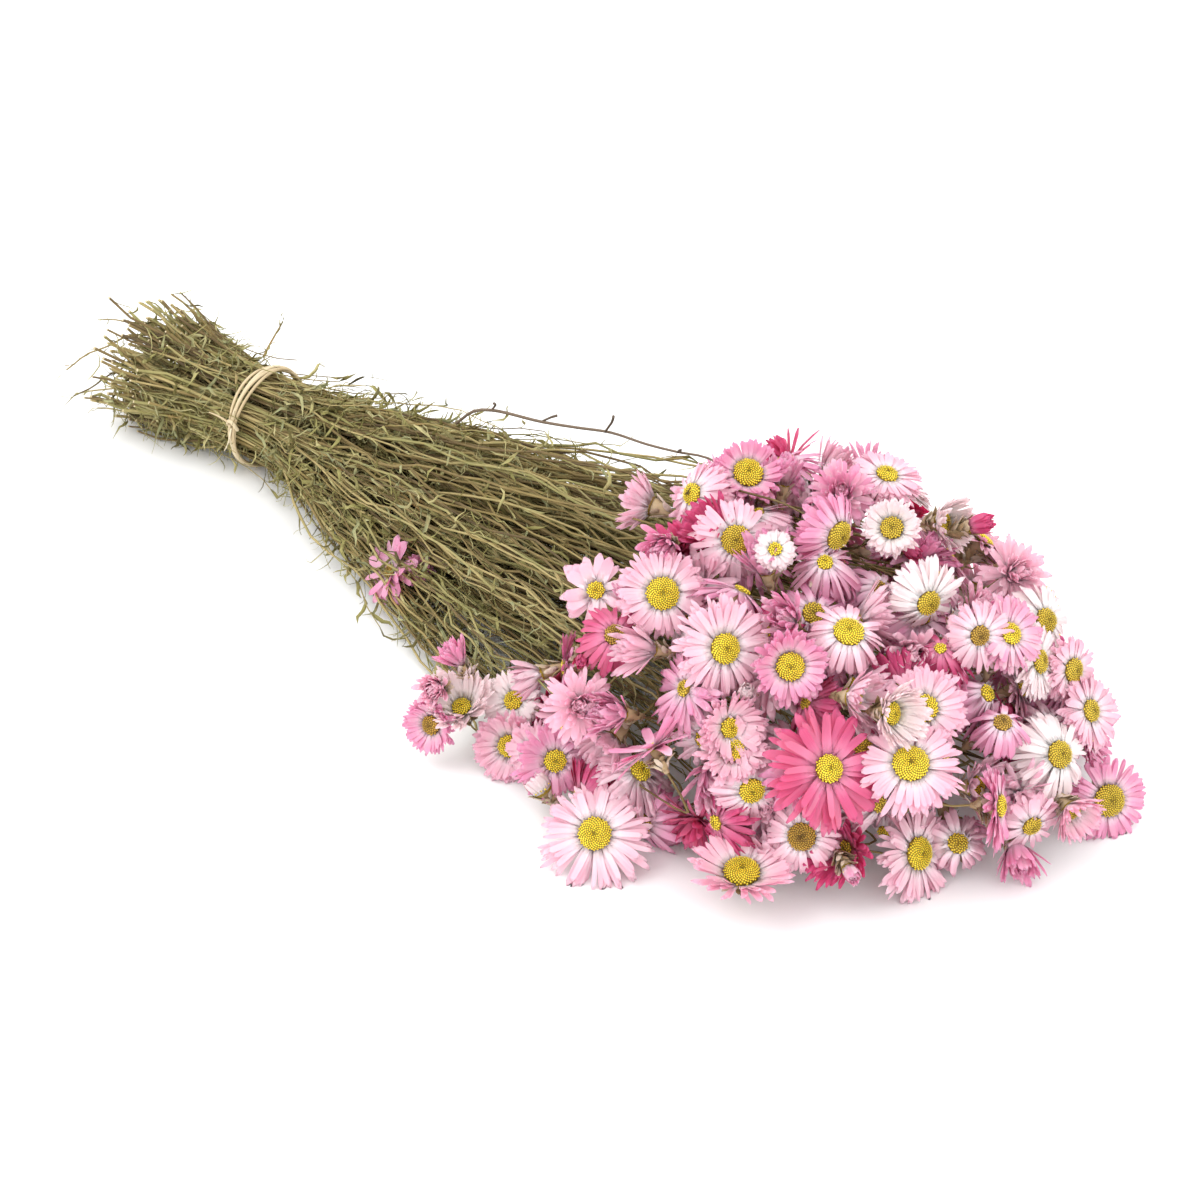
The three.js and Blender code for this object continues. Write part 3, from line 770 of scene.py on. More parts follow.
def stem_material(name, colours, cut):
    """Dry plant matter: fibres along the length, and every stem in a shade of its own."""
    material, graph, shader = new_material(name)
    along, across = attribute(graph, "along"), attribute(graph, "across")
    tint = attribute(graph, "tint")
    place = graph.out("ShaderNodeTexCoord", output="Object")
    fibre = graph.out("ShaderNodeTexNoise", graph.xyz(across * 3.0, along * 4.0, tint * 80.0), 2.0, 3.0)
    patch = graph.out("ShaderNodeTexNoise", place, 90.0, 3.0, 0.6)
    ramp = graph.node("ShaderNodeValToRGB", tint * 0.75 + patch * 0.5 - 0.12)
    stops = ramp.color_ramp.elements
    while len(stops) < len(colours):
        stops.new(0.5)
    for number, colour in enumerate(colours):
        stops[number].position = number / (len(colours) - 1)
        stops[number].color = rgba(colour)
    colour = Value(graph, ramp.outputs["Color"])
    colour = graph.mix(fibre * 0.5, colour, rgba(colours[0]), "RGBA")
    if cut:
        end = graph.maths("LESS_THAN", along, 0.002)
        colour = graph.mix(end, colour, rgba(cut), "RGBA")
    graph.feed(shader.inputs["Base Color"], colour)
    graph.feed(shader.inputs["Roughness"], fibre * 0.25 + 0.6)
    bumped(graph, shader, fibre, 0.5, 0.0004)
    return material


def spiral(shape, index):
    """Turn, cosine and sine of one petal after another round a head."""
    turn = index * GOLDEN_ANGLE
    return turn, shape.maths("COSINE", turn), shape.maths("SINE", turn)


def petal_rows(shape, material):
    """Petals from the outer row, which comes first, to the inner one."""
    count = shape.given("petals")
    points = shape.out("GeometryNodePoints", count)
    inward = shape.index() / count
    turn, cosine, sine = spiral(shape, shape.index() + shape.random(-0.12, 0.12))
    radial = shape.xyz(cosine, sine, 0.0)
    lean = shape.maths("COSINE", turn - shape.given("lean way")) * shape.given("lean")
    angle = shape.mix(inward, shape.given("outer"), shape.given("inner")) + lean
    untidy = shape.given("untidy")
    angle = angle + shape.random(-1.0, 1.0) * untidy
    level, steep = shape.maths("COSINE", angle), shape.maths("SINE", angle)
    foot = shape.given("disc") * shape.mix(inward, 0.85, 0.98)
    length = shape.given("length") * shape.mix(inward, 1.0, shape.given("inner length"))
    length = length * shape.random(0.84, 1.08) * (lean * 0.5 + 1.0)
    points = shape.store(points, "tint", shape.random(0.0, 0.75) + shape.given("pale") * 0.6 - 0.15)
    curve = shape.mix(inward, shape.given("bend"), shape.given("inner bend"))
    petal = shape.strips(
        points, PETAL_OUTLINE, shape.given("sides"), shape.given("sections"),
        base=radial * foot + shape.xyz(0.0, 0.0, shape.mix(inward, 0.0006, 0.0018)),
        aim=radial * level + shape.xyz(0.0, 0.0, steep),
        rise=shape.xyz(0.0, 0.0, level) - radial * steep, length=length,
        width=shape.given("width") * shape.random(0.7, 1.25), wall=shape.given("wall"),
        bend=curve + shape.random(-1.0, 1.0) * untidy,
        twist=shape.random(-0.5, 0.5), bow=shape.random(-0.12, 0.12), gutter=shape.random(-0.1, 0.4),
        sag=shape.given("down"), wave=0.0, phase=0.0,
    )
    return shape.dress(petal, material)


def calyx_bracts(shape, material):
    """Small bracts round the back, from the stem to the petals."""
    points = shape.out("GeometryNodePoints", shape.given("calyx"))
    forward = shape.index() / shape.given("calyx")
    _, cosine, sine = spiral(shape, shape.index() + shape.random(-0.2, 0.2))
    radial = shape.xyz(cosine, sine, 0.0)
    angle = shape.mix(forward, 1.1, shape.given("bract lift")) + shape.random(-0.2, 0.1)
    level, steep = shape.maths("COSINE", angle), shape.maths("SINE", angle)
    base = radial * shape.mix(forward, 0.0014, shape.given("disc") * 0.8)
    points = shape.store(points, "tint", shape.random(0.0, 1.0))
    bract = shape.strips(
        points, BRACT_OUTLINE, 4, 3,
        base=base + shape.xyz(0.0, 0.0, shape.mix(forward, -0.0078, -0.0012)),
        aim=radial * level + shape.xyz(0.0, 0.0, steep),
        rise=shape.xyz(0.0, 0.0, level) - radial * steep, length=shape.random(0.0035, 0.006),
        width=shape.random(0.0018, 0.0028), wall=shape.given("wall"), bend=shape.random(-0.5, 0.3),
        twist=shape.random(-0.2, 0.2), bow=0.0, gutter=0.4, sag=(0.0, 0.0, 0.0),
        wave=0.0, phase=0.0,
    )
    return shape.dress(bract, material)


def calyx_cone(shape, material):
    """The solid back of a head, from its stem to its disc."""
    cone = shape.out(
        "GeometryNodeMeshCone", 10, 3, 1, shape.given("disc") * 0.9, 0.001, CONE_DEPTH,
        fill_type="NGON",
    )
    x, y, z = shape.parts(shape.position())
    swell = shape.profile(z / CONE_DEPTH, CONE_OUTLINE)
    cone = shape.move(cone, shape.xyz(x * swell, y * swell, z - (CONE_DEPTH - 0.001)))
    cone = shape.store(shape.store(cone, "along", 0.5), "tint", 0.3)
    return shape.dress(cone, material)


def dome_height(shape, reach):
    """Height of a disc above the head's plane: a low dome with a dimple."""
    crown = shape.maths("SQRT", shape.maths("MAXIMUM", 1.0 - reach * reach, 0.0))
    dimple = shape.maths("MAXIMUM", 1.0 - reach * 2.6, 0.0)
    return (crown * 0.42 - dimple * dimple * 0.2) * shape.given("disc") + 0.0019


def disc_dome(shape, material):
    """The dome under the florets."""
    ball = shape.out("GeometryNodeMeshUVSphere", 12, 6, 1.0)
    x, y, z = shape.parts(shape.position())
    reach = shape.maths("SQRT", x * x + y * y)
    upper = shape.maths("GREATER_THAN", z, 0.0)
    high = shape.mix(upper, 0.0004, dome_height(shape, reach) - 0.0002)
    radius = shape.given("disc")
    ball = shape.move(ball, shape.xyz(x * radius * 0.97, y * radius * 0.97, high))
    ball = shape.store(shape.store(ball, "along", reach * 0.5), "tint", 0.1)
    return shape.dress(ball, material)


def disc_florets(shape, material):
    """Florets in a spiral over the dome."""
    count, radius = shape.given("florets"), shape.given("disc")
    florets = shape.out("GeometryNodePoints", count)
    reach = shape.maths("SQRT", (shape.index() + 0.5) / count)
    _, cosine, sine = spiral(shape, shape.index())
    spot = shape.xyz(cosine, sine, 0.0) * (reach * radius * 0.97)
    florets = shape.move(florets, spot + shape.xyz(0.0, 0.0, dome_height(shape, reach)))
    florets = shape.store(shape.store(florets, "along", reach), "tint", shape.random(0.0, 1.0))
    outward = shape.xyz(cosine * reach, sine * reach, 1.1)
    outward = outward + shape.xyz(shape.random(-0.2, 0.2), shape.random(-0.2, 0.2), 0.0)
    facing = shape.out("FunctionNodeAlignRotationToVector", None, 1.0, outward, axis="Z")
    floret = shape.out("GeometryNodeMeshCone", 5, 1, 1, 0.0, 0.95, 1.0, fill_type="NGON")
    size = radius / shape.maths("SQRT", count) * (reach * 0.25 + 0.8) * shape.random(0.85, 1.15)
    scale = shape.xyz(size, size, size * shape.random(0.25, 0.5))
    florets = shape.on_points(florets, floret, named={"Rotation": facing, "Scale": scale})
    return shape.dress(florets, material)


def head_tree(name, petals, disc, calyx):
    """A head on its own axis, with the materials of its petals, disc and calyx."""
    shape = Shape(
        name, petals=70, sides=4, sections=4, length=0.012, width=0.003, wall=0.00007,
        outer=0.0, inner=0.6, bend=0.0, inner_bend=0.3, inner_length=0.8, lean=0.0,
        lean_way=0.0, untidy=0.15, disc=0.006, florets=110, calyx=26, bract_lift=0.3,
        down=(0.0, 0.0, 0.0), pale=0.3, seed=1,
    )
    return shape.finish(
        petal_rows(shape, petals), calyx_bracts(shape, calyx), calyx_cone(shape, calyx),
        disc_dome(shape, disc), disc_florets(shape, disc),
    )


def bunch_place(x, y, z):
    """A place on the bunch, from its distances to the tie and the surface."""
    return Vector((TIE.x + x, TIE.y + y, z))


def facing_matrix(place, turn, lift, spin):
    """Puts a head's own axis at a place, turned, lifted and spun round itself."""
    level = math.cos(math.radians(lift))
    way = Vector((
        level * math.cos(math.radians(turn)),
        level * math.sin(math.radians(turn)),
        math.sin(math.radians(lift)),
    ))
    rotation = Vector((0, 0, 1)).rotation_difference(way).to_matrix()
    rotation = rotation @ Matrix.Rotation(spin, 3, "Z")
    matrix = rotation.to_4x4()
    matrix.translation = place * MM
    return matrix


def head_mesh(name, head, trees, settings, seed, fine):
    """The mesh of one head in its place. One that is half hidden has fewer faces."""
    chance = random.Random(seed)
    style = FORMS[head.form]
    place = bunch_place(head.x, head.y, head.z)
    matrix = facing_matrix(place, head.turn, head.lift, chance.uniform(0, 2 * math.pi))
    down = matrix.to_3x3().inverted() @ Vector((0, 0, -settings.sag))
    reach = head.size / 2 - 0.42 * head.disc
    radius = 0.45 * head.disc * style["disc"]
    values = {
        "Petals": style["petals"] if fine else round(style["petals"] * 0.56),
        "Sides": 4 if fine else 3,
        "Sections": 4 if fine and head.size > 25 else 3,
        "Length": reach * style["length"] * MM,
        "Width": settings.petal_width * style["width"] * (0.75 + head.size / 130)
        * (1.0 if fine else 1.6),
        "Outer": math.radians(style["outer"]),
        "Inner": math.radians(style["inner"]),
        "Bend": style["bend"],
        "Inner bend": style["inner_bend"],
        "Inner length": style["inner_length"],
        "Lean": math.radians(chance.uniform(0, 14)),
        "Lean way": chance.uniform(0, 2 * math.pi),
        "Untidy": math.radians(style["untidy"]),
        "Disc": radius * MM,
        "Florets": round((5.5 if fine else 4.4) * radius * radius),
        "Calyx": 26 if fine else 8,
        "Bract lift": min(1.2, math.radians(1.5 * style["outer"]) - 0.1),
        "Down": down,
        "Pale": chance.uniform(0, 1),
        "Seed": seed,
    }
    mesh = grown(name, trees[head.colour, head.finish], values)
    mesh.transform(matrix)
    return mesh


def daisy_trees():
    """One tree for each pair of petal colour and disc finish."""
    settings = bpy.context.scene.daisy_settings
    calyx = stem_material("papery_calyx", CALYX_COLOURS, None)
    discs = {name: disc_material("disc_" + name, *colours) for name, colours in DISC_COLOURS.items()}
    trees = {}
    for name, colours in PETAL_COLOURS.items():
        pale = PALE_COLOURS.get(name, settings.pale_pink)
        petals = petal_material("petals_" + name, *colours, pale, THROUGH_COLOURS[name])
        for finish, disc in discs.items():
            trees[name, finish] = head_tree(f"daisy_{name}_{finish}", petals, disc, calyx)
    return trees


class DaisySettings(bpy.types.PropertyGroup):
    """Sizes and colours of the flower heads."""

    petal_width: FloatProperty(
        name="Petal width", description="Width of a petal on a large head",
        default=0.0019, min=0.0005, unit="LENGTH",
    )
    sag: FloatProperty(
        name="Sag", description="How far the tips of the petals hang, as a share of their length",
        default=0.06, min=0.0, max=0.5, subtype="FACTOR",
    )
    pale_pink: FloatVectorProperty(
        name="Pale pink", description="Colour of the palest petals and streaks",
        default=(0.97, 0.84, 0.88), size=3, min=0.0, max=1.0, subtype="COLOR",
    )


class StemSettings(bpy.types.PropertyGroup):
    """Sizes of the stems and their leaves."""

    fillers: IntProperty(
        name="Stems without a head", description="Extra stems in each spray", default=18, min=0,
    )
    shoots: IntProperty(
        name="Side shoots", description="Thin leafy shoots on each outer spray", default=10, min=0,
    )
    radius: FloatProperty(
        name="Stem radius", description="Radius of a stem at the tie", default=0.0007, min=0.0002,
        unit="LENGTH",
    )
    leaf_spacing: FloatProperty(
        name="Leaf spacing", description="Distance between leaves along a stem",
        default=0.0086, min=0.001, unit="LENGTH",
    )
    leaf_length: FloatProperty(
        name="Leaf length", description="Length of a long leaf", default=0.019, min=0.002,
        unit="LENGTH",
    )
    leaf_width: FloatProperty(
        name="Leaf width", description="Width of a broad leaf", default=0.0021, min=0.0002,
        unit="LENGTH",
    )


class StageSettings(bpy.types.PropertyGroup):
    """Floor, light and camera."""

    azimuth: FloatProperty(
        name="Azimuth", description="Side that the camera looks from", default=VIEW_AZIMUTH,
        subtype="ANGLE",
    )
    elevation: FloatProperty(
        name="Elevation", description="Height of the camera above level",
        default=VIEW_ELEVATION, subtype="ANGLE",
    )
    distance: FloatProperty(
        name="Distance", description="Camera to the middle of the bunch", default=1.3585,
        unit="LENGTH",
    )
    focal_length: FloatProperty(
        name="Focal length", description="Of a lens on a 36 mm sensor, in millimetres",
        default=112.3,
    )


class BUNCH_OT_heads(bpy.types.Operator):
    """Makes all flower heads, the large ones in the place of their nodes"""

    bl_idname = "bunch.heads"
    bl_label = "Flower heads"

    def execute(self, context):
        trees = daisy_trees()
        settings = context.scene.daisy_settings
        large = [head for *_, heads in SPRAYS for head in heads]
        small = [head for _, head in SMALL_HEADS]
        hidden = [head for _, head in UNDER_HEADS]
        number = 0
        for kind, heads in (("daisy", large), ("small_daisy", small), ("under_daisy", hidden)):
            for head in heads:
                number += 1
                name = f"{kind}_{number:03d}" if kind == "under_daisy" else f"{kind}_{number:02d}"
                nodes = [f"flower_head_{number:02d}"] if kind == "daisy" else []
                mesh = head_mesh(name, head, trees, settings, number, kind != "under_daisy")
                piece_from(name, mesh, "petals_" + head.colour, *nodes)
        return {"FINISHED"}


def catmull_rom(points, spacing):
    """Points along a smooth curve through the given ones, about as far apart as spacing."""
    ends = [2 * points[0] - points[1], *points, 2 * points[-1] - points[-2]]
    path = []
    for p0, p1, p2, p3 in zip(ends, ends[1:], ends[2:], ends[3:]):
        t0 = 0.0
        t1 = t0 + max((p1 - p0).length, 1e-6) ** 0.5
        t2 = t1 + max((p2 - p1).length, 1e-6) ** 0.5
        t3 = t2 + max((p3 - p2).length, 1e-6) ** 0.5
        steps = max(2, round((p2 - p1).length / spacing))
        for step in range(steps):
            t = t1 + (t2 - t1) * step / steps
            a1 = p0.lerp(p1, (t - t0) / (t1 - t0)) if t1 != t0 else p1
            a2 = p1.lerp(p2, (t - t1) / (t2 - t1))
            a3 = p2.lerp(p3, (t - t2) / (t3 - t2))
            b1 = a1.lerp(a2, (t - t0) / (t2 - t0))
            b2 = a2.lerp(a3, (t - t1) / (t3 - t1))
            path.append(b1.lerp(b2, (t - t1) / (t2 - t1)))
    path.append(points[-1].copy())
    return path


def bundle_point(x, spread, y, z):
    """A place in the bundle, from its distances to the tie, with y and z times spread."""
    return Vector((TIE.x + x, TIE.y + spread * y, TIE.z + spread * z))


def neck_points(head):
    """Where a head's stem ends, and the point behind it that it comes straight from."""
    place = bunch_place(head.x, head.y, head.z)
    way = facing_matrix(place, head.turn, head.lift, 0).to_3x3() @ Vector((0, 0, 1))
    end = place - way * (CALYX_DEPTH - 0.8)
    start = place - way * (CALYX_DEPTH + 14)
    start.z = max(start.z, 1.6)
    return start, end


def round_point(radius, angle):
    return radius * math.cos(math.radians(angle)), radius * math.sin(math.radians(angle))


def stems_to_heads(number, chance):
    """Guide paths from the cut ends through the tie to the heads of a spray."""
    radius, angle, spin, heads = SPRAYS[number]
    y0, z0 = round_point(radius, angle)
    extra = [head for spray, head in (*SMALL_HEADS, *UNDER_HEADS) if spray == number + 1]
    paths = []
    for index, head in enumerate([*heads, *extra]):
        turn = math.radians(angle + spin + index * 360 / len(heads))
        offset = STEM_OFFSET if index < len(heads) else chance.uniform(0.8, 4.0)
        y, z = y0 + offset * math.cos(turn), z0 + offset * math.sin(turn)
        start, end = neck_points(head)
        tied = bundle_point(TIED_HALF, 1, y, z)
        cut = bundle_point(CUT_ENDS[index % 5] + chance.uniform(-6, 3), CUT_SPREAD, y, z)
        cut += Vector((0, chance.uniform(-3, 3), chance.uniform(-3, 4)))
        path = [cut, bundle_point(-TIED_HALF, 1, y, z), tied, tied.lerp(start, 0.5), start, end]
        paths.append((catmull_rom(path, POINT_SPACING), *HEAD_STEM))
    return paths


def stems_without_heads(number, count, chance):
    """Guide paths of stems that end below the heads of a spray and of those beside it."""
    radius, angle, _, heads = SPRAYS[number]
    y0, z0 = round_point(radius, angle)
    beside = [SPRAYS[(number + step) % len(SPRAYS)][3] for step in (-1, 1)]
    targets = [neck_points(head)[0] for head in heads]
    near = targets + [neck_points(head)[0] for group in beside for head in group[:2]]
    paths = []
    for _ in range(count):
        around, reach = chance.uniform(0, 2 * math.pi), SPRAY_RADIUS * math.sqrt(chance.random())
        y, z = y0 + reach * math.cos(around), z0 + reach * math.sin(around)
        goal = chance.choice(targets).lerp(chance.choice(near), chance.uniform(0, 0.8))
        tied = bundle_point(TIED_HALF, 1, y, z)
        goal = tied.lerp(goal, chance.uniform(0.6, 1.0))
        goal += Vector((chance.uniform(-9, 9), chance.uniform(-9, 9), chance.uniform(-7, 3)))
        goal.z *= chance.uniform(0.5, 1.0)
        bow = Vector((0, chance.uniform(-8, 8), chance.uniform(-7, 5)))
        cut = bundle_point(chance.uniform(-74, -38), chance.uniform(1.1, 1.6), y, z)
        cut += Vector((0, chance.uniform(-9, 9), chance.uniform(-6, 8)))
        path = [cut, bundle_point(-TIED_HALF, 1, y, z), tied, tied.lerp(goal, 0.45) + bow, goal]
        share = chance.uniform(0.5, 1.05)
        paths.append((catmull_rom(path, POINT_SPACING), *(share * thick for thick in BARE_STEM)))
    return paths


def side_shoots(number, stems, count, chance):
    """Thin leafy shoots that leave the outer stems and lie across them."""
    out = Vector((0, *round_point(*SPRAYS[number][:2]))).normalized() * 4
    paths = []
    for _ in range(count):
        path = chance.choice(stems)[0]
        first = chance.randrange(0, round(0.45 * len(path)))
        off = Vector((0, chance.uniform(-1, 1), chance.uniform(0, 1))) * chance.uniform(4, 10)
        shoot = []
        for step in range(7):
            way = step / 6
            shoot.append(path[first + step] + (off * way * way + out * min(1, 3 * way)))
        paths.append((shoot, *SIDE_SHOOT))
    return paths


def stem_paths(number, settings):
    """Guide paths of a spray. The three sprays in the middle have no side shoots."""
    radius, _, _, heads = SPRAYS[number]
    chance = random.Random(100 + number)
    paths = stems_to_heads(number, chance)
    paths += stems_without_heads(number, settings.fillers, chance)
    shoots = 0 if radius == MIDDLE else settings.shoots
    return paths + side_shoots(number, paths[:len(heads)], shoots, chance)


def guide_mesh(name, paths, radius, chance):
    """Loose edges along the guide paths, with what the tree needs on each point.

    Each path comes with its thickness at its start and its end."""
    places, edges = [], []
    columns = {"thick": [], "along": [], "tint": [], "loose": []}
    for path, thick, thin in paths:
        start = len(places)
        tint = chance.random()
        for step, point in enumerate(path):
            way = step / (len(path) - 1)
            places.append(Vector((point.x, point.y, max(point.z, STEM_HEIGHT))) * MM)
            columns["thick"].append(radius * (thick + (thin - thick) * way))
            columns["along"].append(way)
            columns["tint"].append(tint)
            gap = max(0.0, abs(point.x - TIE.x) - TIED_HALF)
            columns["loose"].append(min(1.0, gap / SWAY_LENGTH) * min(1.0, 5 * (1 - way)))
        edges += [(start + i, start + i + 1) for i in range(len(path) - 1)]
    mesh = bpy.data.meshes.new(name)
    mesh.from_pydata(places, edges, [])
    for column, values in columns.items():
        mesh.attributes.new(column, "FLOAT", "POINT").data.foreach_set("value", values)
    return mesh


def tubes(shape, guides, material, sides):
    """Round tubes along guides, as thick as the guides say."""
    guides, held = shape.hold(guides, thick=shape.named("thick"))
    ring = shape.out("GeometryNodeCurvePrimitiveCircle", sides, named={"Radius": 1.0})
    ring = shape.store(ring, "across", shape.index() * (2 / sides))
    tube = shape.out("GeometryNodeCurveToMesh", guides, ring, held["thick"], True)
    return shape.dress(tube, material)


def strand_tree(name, material, sides):
    """Bare strands along guide paths."""
    shape = Shape(name, seed=1)
    guides = shape.out("GeometryNodeMeshToCurve", shape.given("geometry"))
    return shape.finish(tubes(shape, guides, material, sides))


def stem_tree(name, stems, leaves):
    """Stems along guide paths, with narrow wavy leaves, fewer of them under the heads."""
    shape = Shape(
        name, wobble=0.007, leafiness=1.0, leaf_spacing=0.006, leaf_length=0.018,
        leaf_width=0.0015, leaf_wall=0.00012, seed=1,
    )
    guides = shape.out("GeometryNodeMeshToCurve", shape.given("geometry"))
    tint, loose = shape.named("tint"), shape.named("loose")
    apart = shape.xyz(tint * 90.0, tint * 57.0, 0.0)

    def sway(scale, share):
        noise = shape.out(
            "ShaderNodeTexNoise", shape.position() * scale + apart, 1.0, 1.0, output="Color"
        )
        off = shape.vector_maths("SUBTRACT", noise, (0.5, 0.5, 0.5))
        return off * (loose * shape.given("wobble") * share)

    guides = shape.move(guides, shape.position() + sway(20.0, 1.8) + sway(48.0, 1.3))
    tube = tubes(shape, guides, stems, 4)

    spots = shape.node("GeometryNodeCurveToPoints", guides, shape.given("leaf spacing"), mode="LENGTH")
    points, tangent, normal = (
        Value(shape, spots.outputs[key]) for key in ("Points", "Tangent", "Normal")
    )
    points, held = shape.hold(points, tangent=tangent, normal=normal)
    ahead = shape.parts(shape.position() - tuple(TIE * MM))[0]
    bare = shape.maths("LESS_THAN", shape.maths("ABSOLUTE", ahead), LEAFLESS_HALF)
    share = shape.out("ShaderNodeMapRange", ahead, 0.0, THINNING_LENGTH, 0.9, 0.14)
    share = share * shape.given("leafiness")
    share = share + shape.maths("LESS_THAN", shape.named("thick"), THIN_STEM)
    bare = shape.maths("MAXIMUM", bare, shape.maths("GREATER_THAN", shape.random(0.0, 1.0), share))
    points = shape.out("GeometryNodeDeleteGeometry", points, bare, domain="POINT")
    across = shape.vector_maths("CROSS_PRODUCT", held["tangent"], held["normal"])
    round_stem = shape.random(0.0, 2 * math.pi)
    outward = held["normal"] * shape.maths("COSINE", round_stem)
    outward = outward + across * shape.maths("SINE", round_stem)
    lift = shape.random(0.0, 0.6)
    aim = held["tangent"] * shape.maths("COSINE", lift) + outward * shape.maths("SINE", lift)
    rise = outward * shape.maths("COSINE", lift) - held["tangent"] * shape.maths("SINE", lift)
    # Two leaves in five are long thin tendrils. The others are broader and crumpled.
    tendril = shape.maths("GREATER_THAN", shape.random(0.0, 1.0), 0.6)
    points = shape.store(points, "tint", shape.random(0.0, 1.0))
    leaf = shape.strips(
        points, LEAF_OUTLINE, 3, 5, floor=LEAF_HEIGHT, base=shape.position(), aim=aim, rise=rise,
        length=shape.given("leaf length")
        * shape.mix(tendril, shape.random(0.35, 0.9), shape.random(0.5, 1.05)),
        width=shape.given("leaf width")
        * shape.mix(tendril, shape.random(0.45, 1.0), shape.random(0.2, 0.35)),
        wall=shape.given("leaf wall"), bend=shape.random(-2.6, 2.0), twist=shape.random(-4.0, 4.0),
        bow=shape.random(-0.4, 0.4), gutter=shape.random(0.0, 1.0), sag=(0.0, 0.0, -0.08),
        wave=shape.random(0.05, 0.26), phase=shape.random(0.0, 6.0),
    )
    leaf = shape.dress(leaf, leaves)
    return shape.finish(tube, leaf)


class BUNCH_OT_stems(bpy.types.Operator):
    """Makes the sprays of stems and leaves, each in the place of its node"""

    bl_idname = "bunch.stems"
    bl_label = "Stems and leaves"

    def execute(self, context):
        settings = context.scene.stem_settings
        tree = stem_tree(
            "leafy_stems", stem_material("dry_stems", STEM_COLOURS, PITH),
            stem_material("dry_leaves", LEAF_COLOURS, None),
        )
        for number in range(len(SPRAYS)):
            name = f"stems_{number + 1:02d}"
            chance = random.Random(200 + number)
            guides = guide_mesh(name, stem_paths(number, settings), settings.radius, chance)
            inside = SPRAYS[number][0] == MIDDLE
            values = {
                "Leafiness": 0.3 if inside else 1.0,
                "Leaf spacing": settings.leaf_spacing,
                "Leaf length": settings.leaf_length,
                "Leaf width": settings.leaf_width,
                "Seed": number + 1,
            }
            mesh = grown(name, tree, values, guides)
            piece_from(name, mesh, "stems", f"stem_spray_{number + 1:02d}")
        return {"FINISHED"}


def raffia_paths():
    """Strands wound once round the bundle, a short wrap that is the knot, and its tails."""

    def spot(x, degrees, out):
        y, z = round_point(TIE_RADIUS + out, degrees)
        return bundle_point(x, 1, y, z)

    paths = []
    for x, wander, thick in RAFFIA_STRANDS:
        loop = []
        for degrees in range(KNOT_ANGLE, KNOT_ANGLE + 366, 6):
            turn = math.radians(degrees)
            gather = 0.8 + 0.3 * math.cos(2 * (turn - math.radians(100)))
            lie = x * gather + wander * math.sin(1.5 * turn + x)
            loop.append(spot(lie, degrees, 0.3 + 0.35 * math.sin(3 * turn + 2 * x)))
        paths.append((loop, thick, thick))
    knot = [(-2.8, 3, -0.4), (-1.6, -3, 1.0), (0.6, -4, 1.5), (2.4, 0, 0.9), (2.6, 4, -0.2)]
    tails = (
        ((-1.0, -2, 1.3), (-4.0, -4, 1.8), (-7.5, -5, 2.2), (-11.5, -4, 1.6)),
        ((0.6, 3, 1.2), (0.2, 12, 1.4), (-1.2, 24, 1.8), (-3.6, 34, 2.4)),
    )
    for route, thick, thin in ((knot, 0.75, 0.75), (tails[0], 0.5, 0.25), (tails[1], 0.4, 0.2)):
        points = [spot(x, KNOT_ANGLE + degrees, out) for x, degrees, out in route]
        paths.append((catmull_rom(points, 0.8), thick, thin))
    return paths


class BUNCH_OT_raffia(bpy.types.Operator):
    """Makes the raffia strands that tie the bundle"""

    bl_idname = "bunch.raffia"
    bl_label = "Raffia tie"

    def execute(self, context):
        material = stem_material("raffia_fibre", RAFFIA_COLOURS, None)
        guides = guide_mesh("raffia", raffia_paths(), MM, random.Random(301))
        mesh = grown("raffia", strand_tree("raffia_strands", material, 9), {"Seed": 1}, guides)
        piece_from("raffia_strands", mesh, "raffia", "raffia_tie")
        return {"FINISHED"}


class BUNCH_OT_loose_bits(bpy.types.Operator):
    """Makes the dark twig on the bundle and the straws that stick out"""

    bl_idname = "bunch.loose_bits"
    bl_label = "Twig and straws"

    def execute(self, context):
        chance = random.Random(302)
        bare = strand_tree("twig_lengths", stem_material("bare_twig", TWIG_COLOURS, None), 6)
        leafy = stem_tree(
            "leafy_straws", stem_material("bare_straws", STEM_COLOURS, None),
            stem_material("straw_leaves", LEAF_COLOURS, None),
        )
        twig = [(TWIG, 0.65, 0.4), *((shoot, 0.4, 0.55) for shoot in TWIG_SHOOTS)]
        straws = [(straw, 0.55, 0.3) for straw in STRAWS]
        small_leaves = {"Leaf spacing": 0.004, "Leaf length": 0.009, "Leaf width": 0.0012}
        for name, routes, tree in (("twig", twig, bare), ("straws", straws, leafy)):
            paths = [(catmull_rom([bunch_place(*point) for point in route], 4), thick, thin)
                     for route, thick, thin in routes]
            guides = guide_mesh(name, paths, MM, chance)
            mesh = grown(name, tree, {"Seed": 1, "Wobble": 0.004, **small_leaves}, guides)
            piece_from("dry_" + name, mesh, "stems")
        return {"FINISHED"}


def add_floor():
    bpy.ops.mesh.primitive_plane_add(size=12)
    floor = bpy.context.object
    floor.name = "floor"
    material, _, shader = new_material("pale_floor")
    shader.inputs["Base Color"].default_value = (0.9, 0.9, 0.9, 1)
    shader.inputs["Roughness"].default_value = 0.9
    floor.data.materials.append(material)


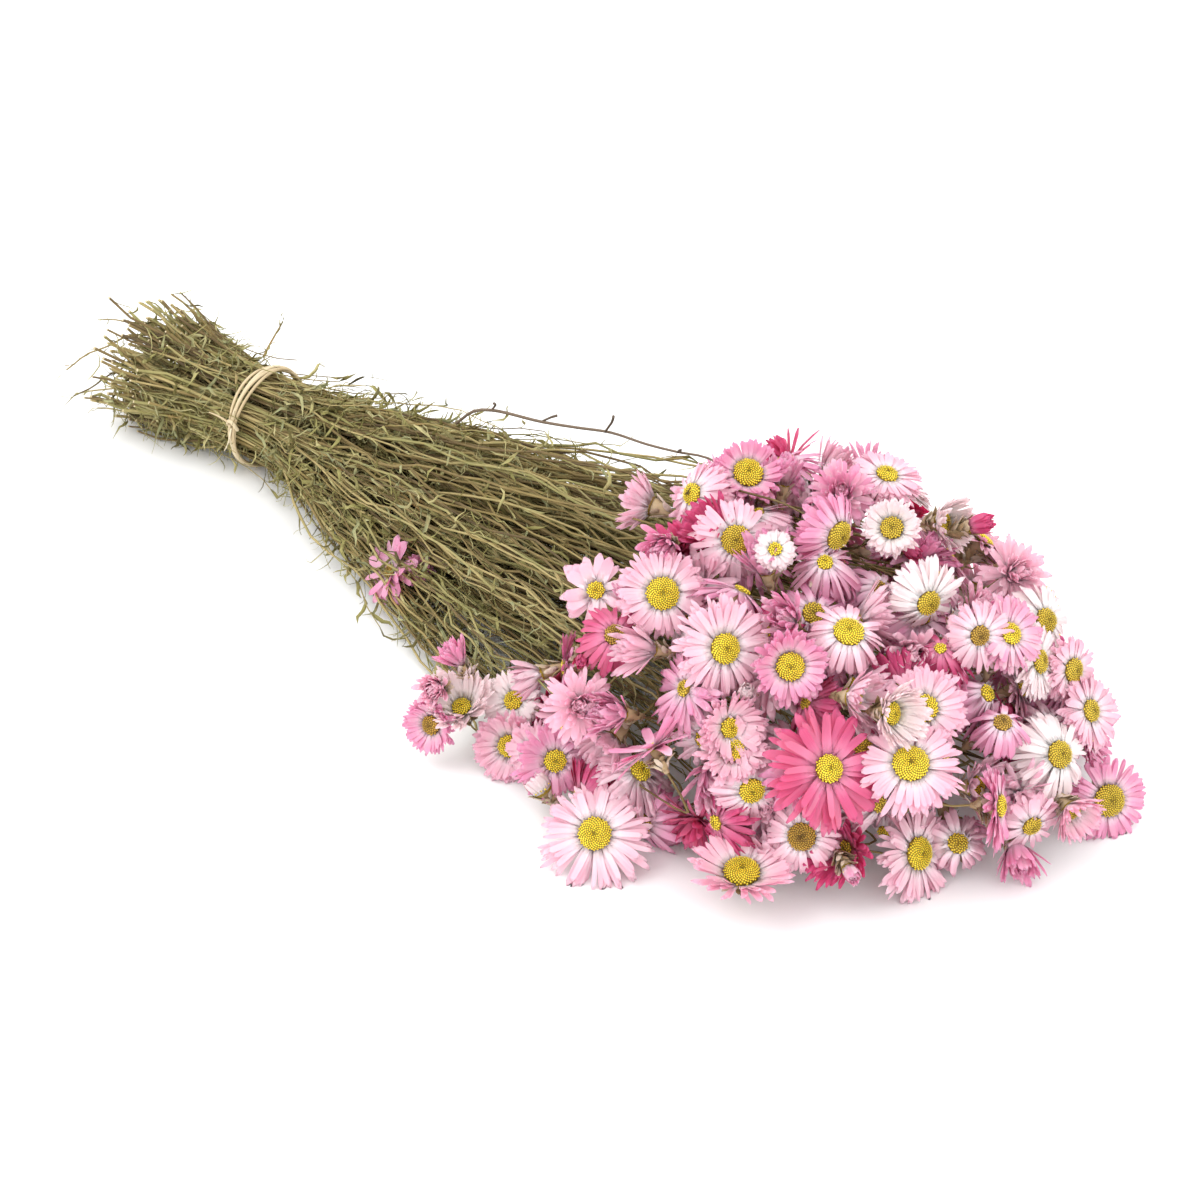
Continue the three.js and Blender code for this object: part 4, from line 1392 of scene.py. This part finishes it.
def add_lights(scene):
    """A white studio, a key light over the viewer's shoulder and a weak fill light."""
    world = bpy.data.worlds.new("studio")
    world.use_nodes = True
    sky = world.node_tree.nodes["Background"]
    sky.inputs["Color"].default_value = (1, 1, 1, 1)
    sky.inputs["Strength"].default_value = 1.6
    scene.world = world
    scene.view_settings.view_transform = "Standard"
    for name, place, power in (("key", (-0.5, -0.9, 1.5), 9), ("fill", (1.3, -0.6, 0.9), 3)):
        light = bpy.data.lights.new(name, "AREA")
        light.size = 1.2
        light.energy = power
        lamp = bpy.data.objects.new(name, light)
        lamp.location = place
        aim = Vector((0.03, 0, 0.03)) - lamp.location
        lamp.rotation_euler = aim.to_track_quat("-Z", "Y").to_euler()
        scene.collection.objects.link(lamp)


def add_camera(scene, settings):
    back = towards_camera(settings.azimuth, settings.elevation)
    data = bpy.data.cameras.new("camera")
    data.lens = settings.focal_length
    data.sensor_width = 36
    data.clip_start = 0.05
    camera = bpy.data.objects.new("camera", data)
    camera.location = bunch_place(*VIEW_MIDDLE) * MM + back * settings.distance
    camera.rotation_euler = (-back).to_track_quat("-Z", "Y").to_euler()
    scene.collection.objects.link(camera)
    scene.camera = camera


class BUNCH_OT_stage(bpy.types.Operator):
    """Sets up the pale floor, the soft light and the camera"""

    bl_idname = "bunch.stage"
    bl_label = "Floor, light and camera"

    def execute(self, context):
        add_floor()
        add_lights(context.scene)
        add_camera(context.scene, context.scene.stage_settings)
        return {"FINISHED"}


class BUNCH_PT_panel(bpy.types.Panel):
    """Lists the pieces of the bunch"""

    bl_label = "Daisy bunch"
    bl_space_type = "VIEW_3D"
    bl_region_type = "UI"
    bl_category = "Daisy bunch"

    def draw(self, context):
        for operator in OPERATORS:
            self.layout.operator(operator.bl_idname)
        for group in ("daisy_settings", "stem_settings", "stage_settings"):
            settings = getattr(context.scene, group)
            box = self.layout.box()
            for name in settings.__annotations__:
                box.prop(settings, name)


OPERATORS = (BUNCH_OT_stage, BUNCH_OT_stems, BUNCH_OT_raffia, BUNCH_OT_loose_bits, BUNCH_OT_heads)
GROUPS = {
    "daisy_settings": DaisySettings,
    "stem_settings": StemSettings,
    "stage_settings": StageSettings,
}


def register():
    for item in (*GROUPS.values(), *OPERATORS, BUNCH_PT_panel):
        bpy.utils.register_class(item)
    for name, group in GROUPS.items():
        setattr(bpy.types.Scene, name, PointerProperty(type=group))


def unregister():
    for name in GROUPS:
        delattr(bpy.types.Scene, name)
    for item in reversed((*GROUPS.values(), *OPERATORS, BUNCH_PT_panel)):
        bpy.utils.unregister_class(item)


def main():
    register()
    bpy.ops.bunch.stage()
    bpy.ops.bunch.stems()
    bpy.ops.bunch.raffia()
    bpy.ops.bunch.loose_bits()
    bpy.ops.bunch.heads()


if __name__ == "__main__":
    main()
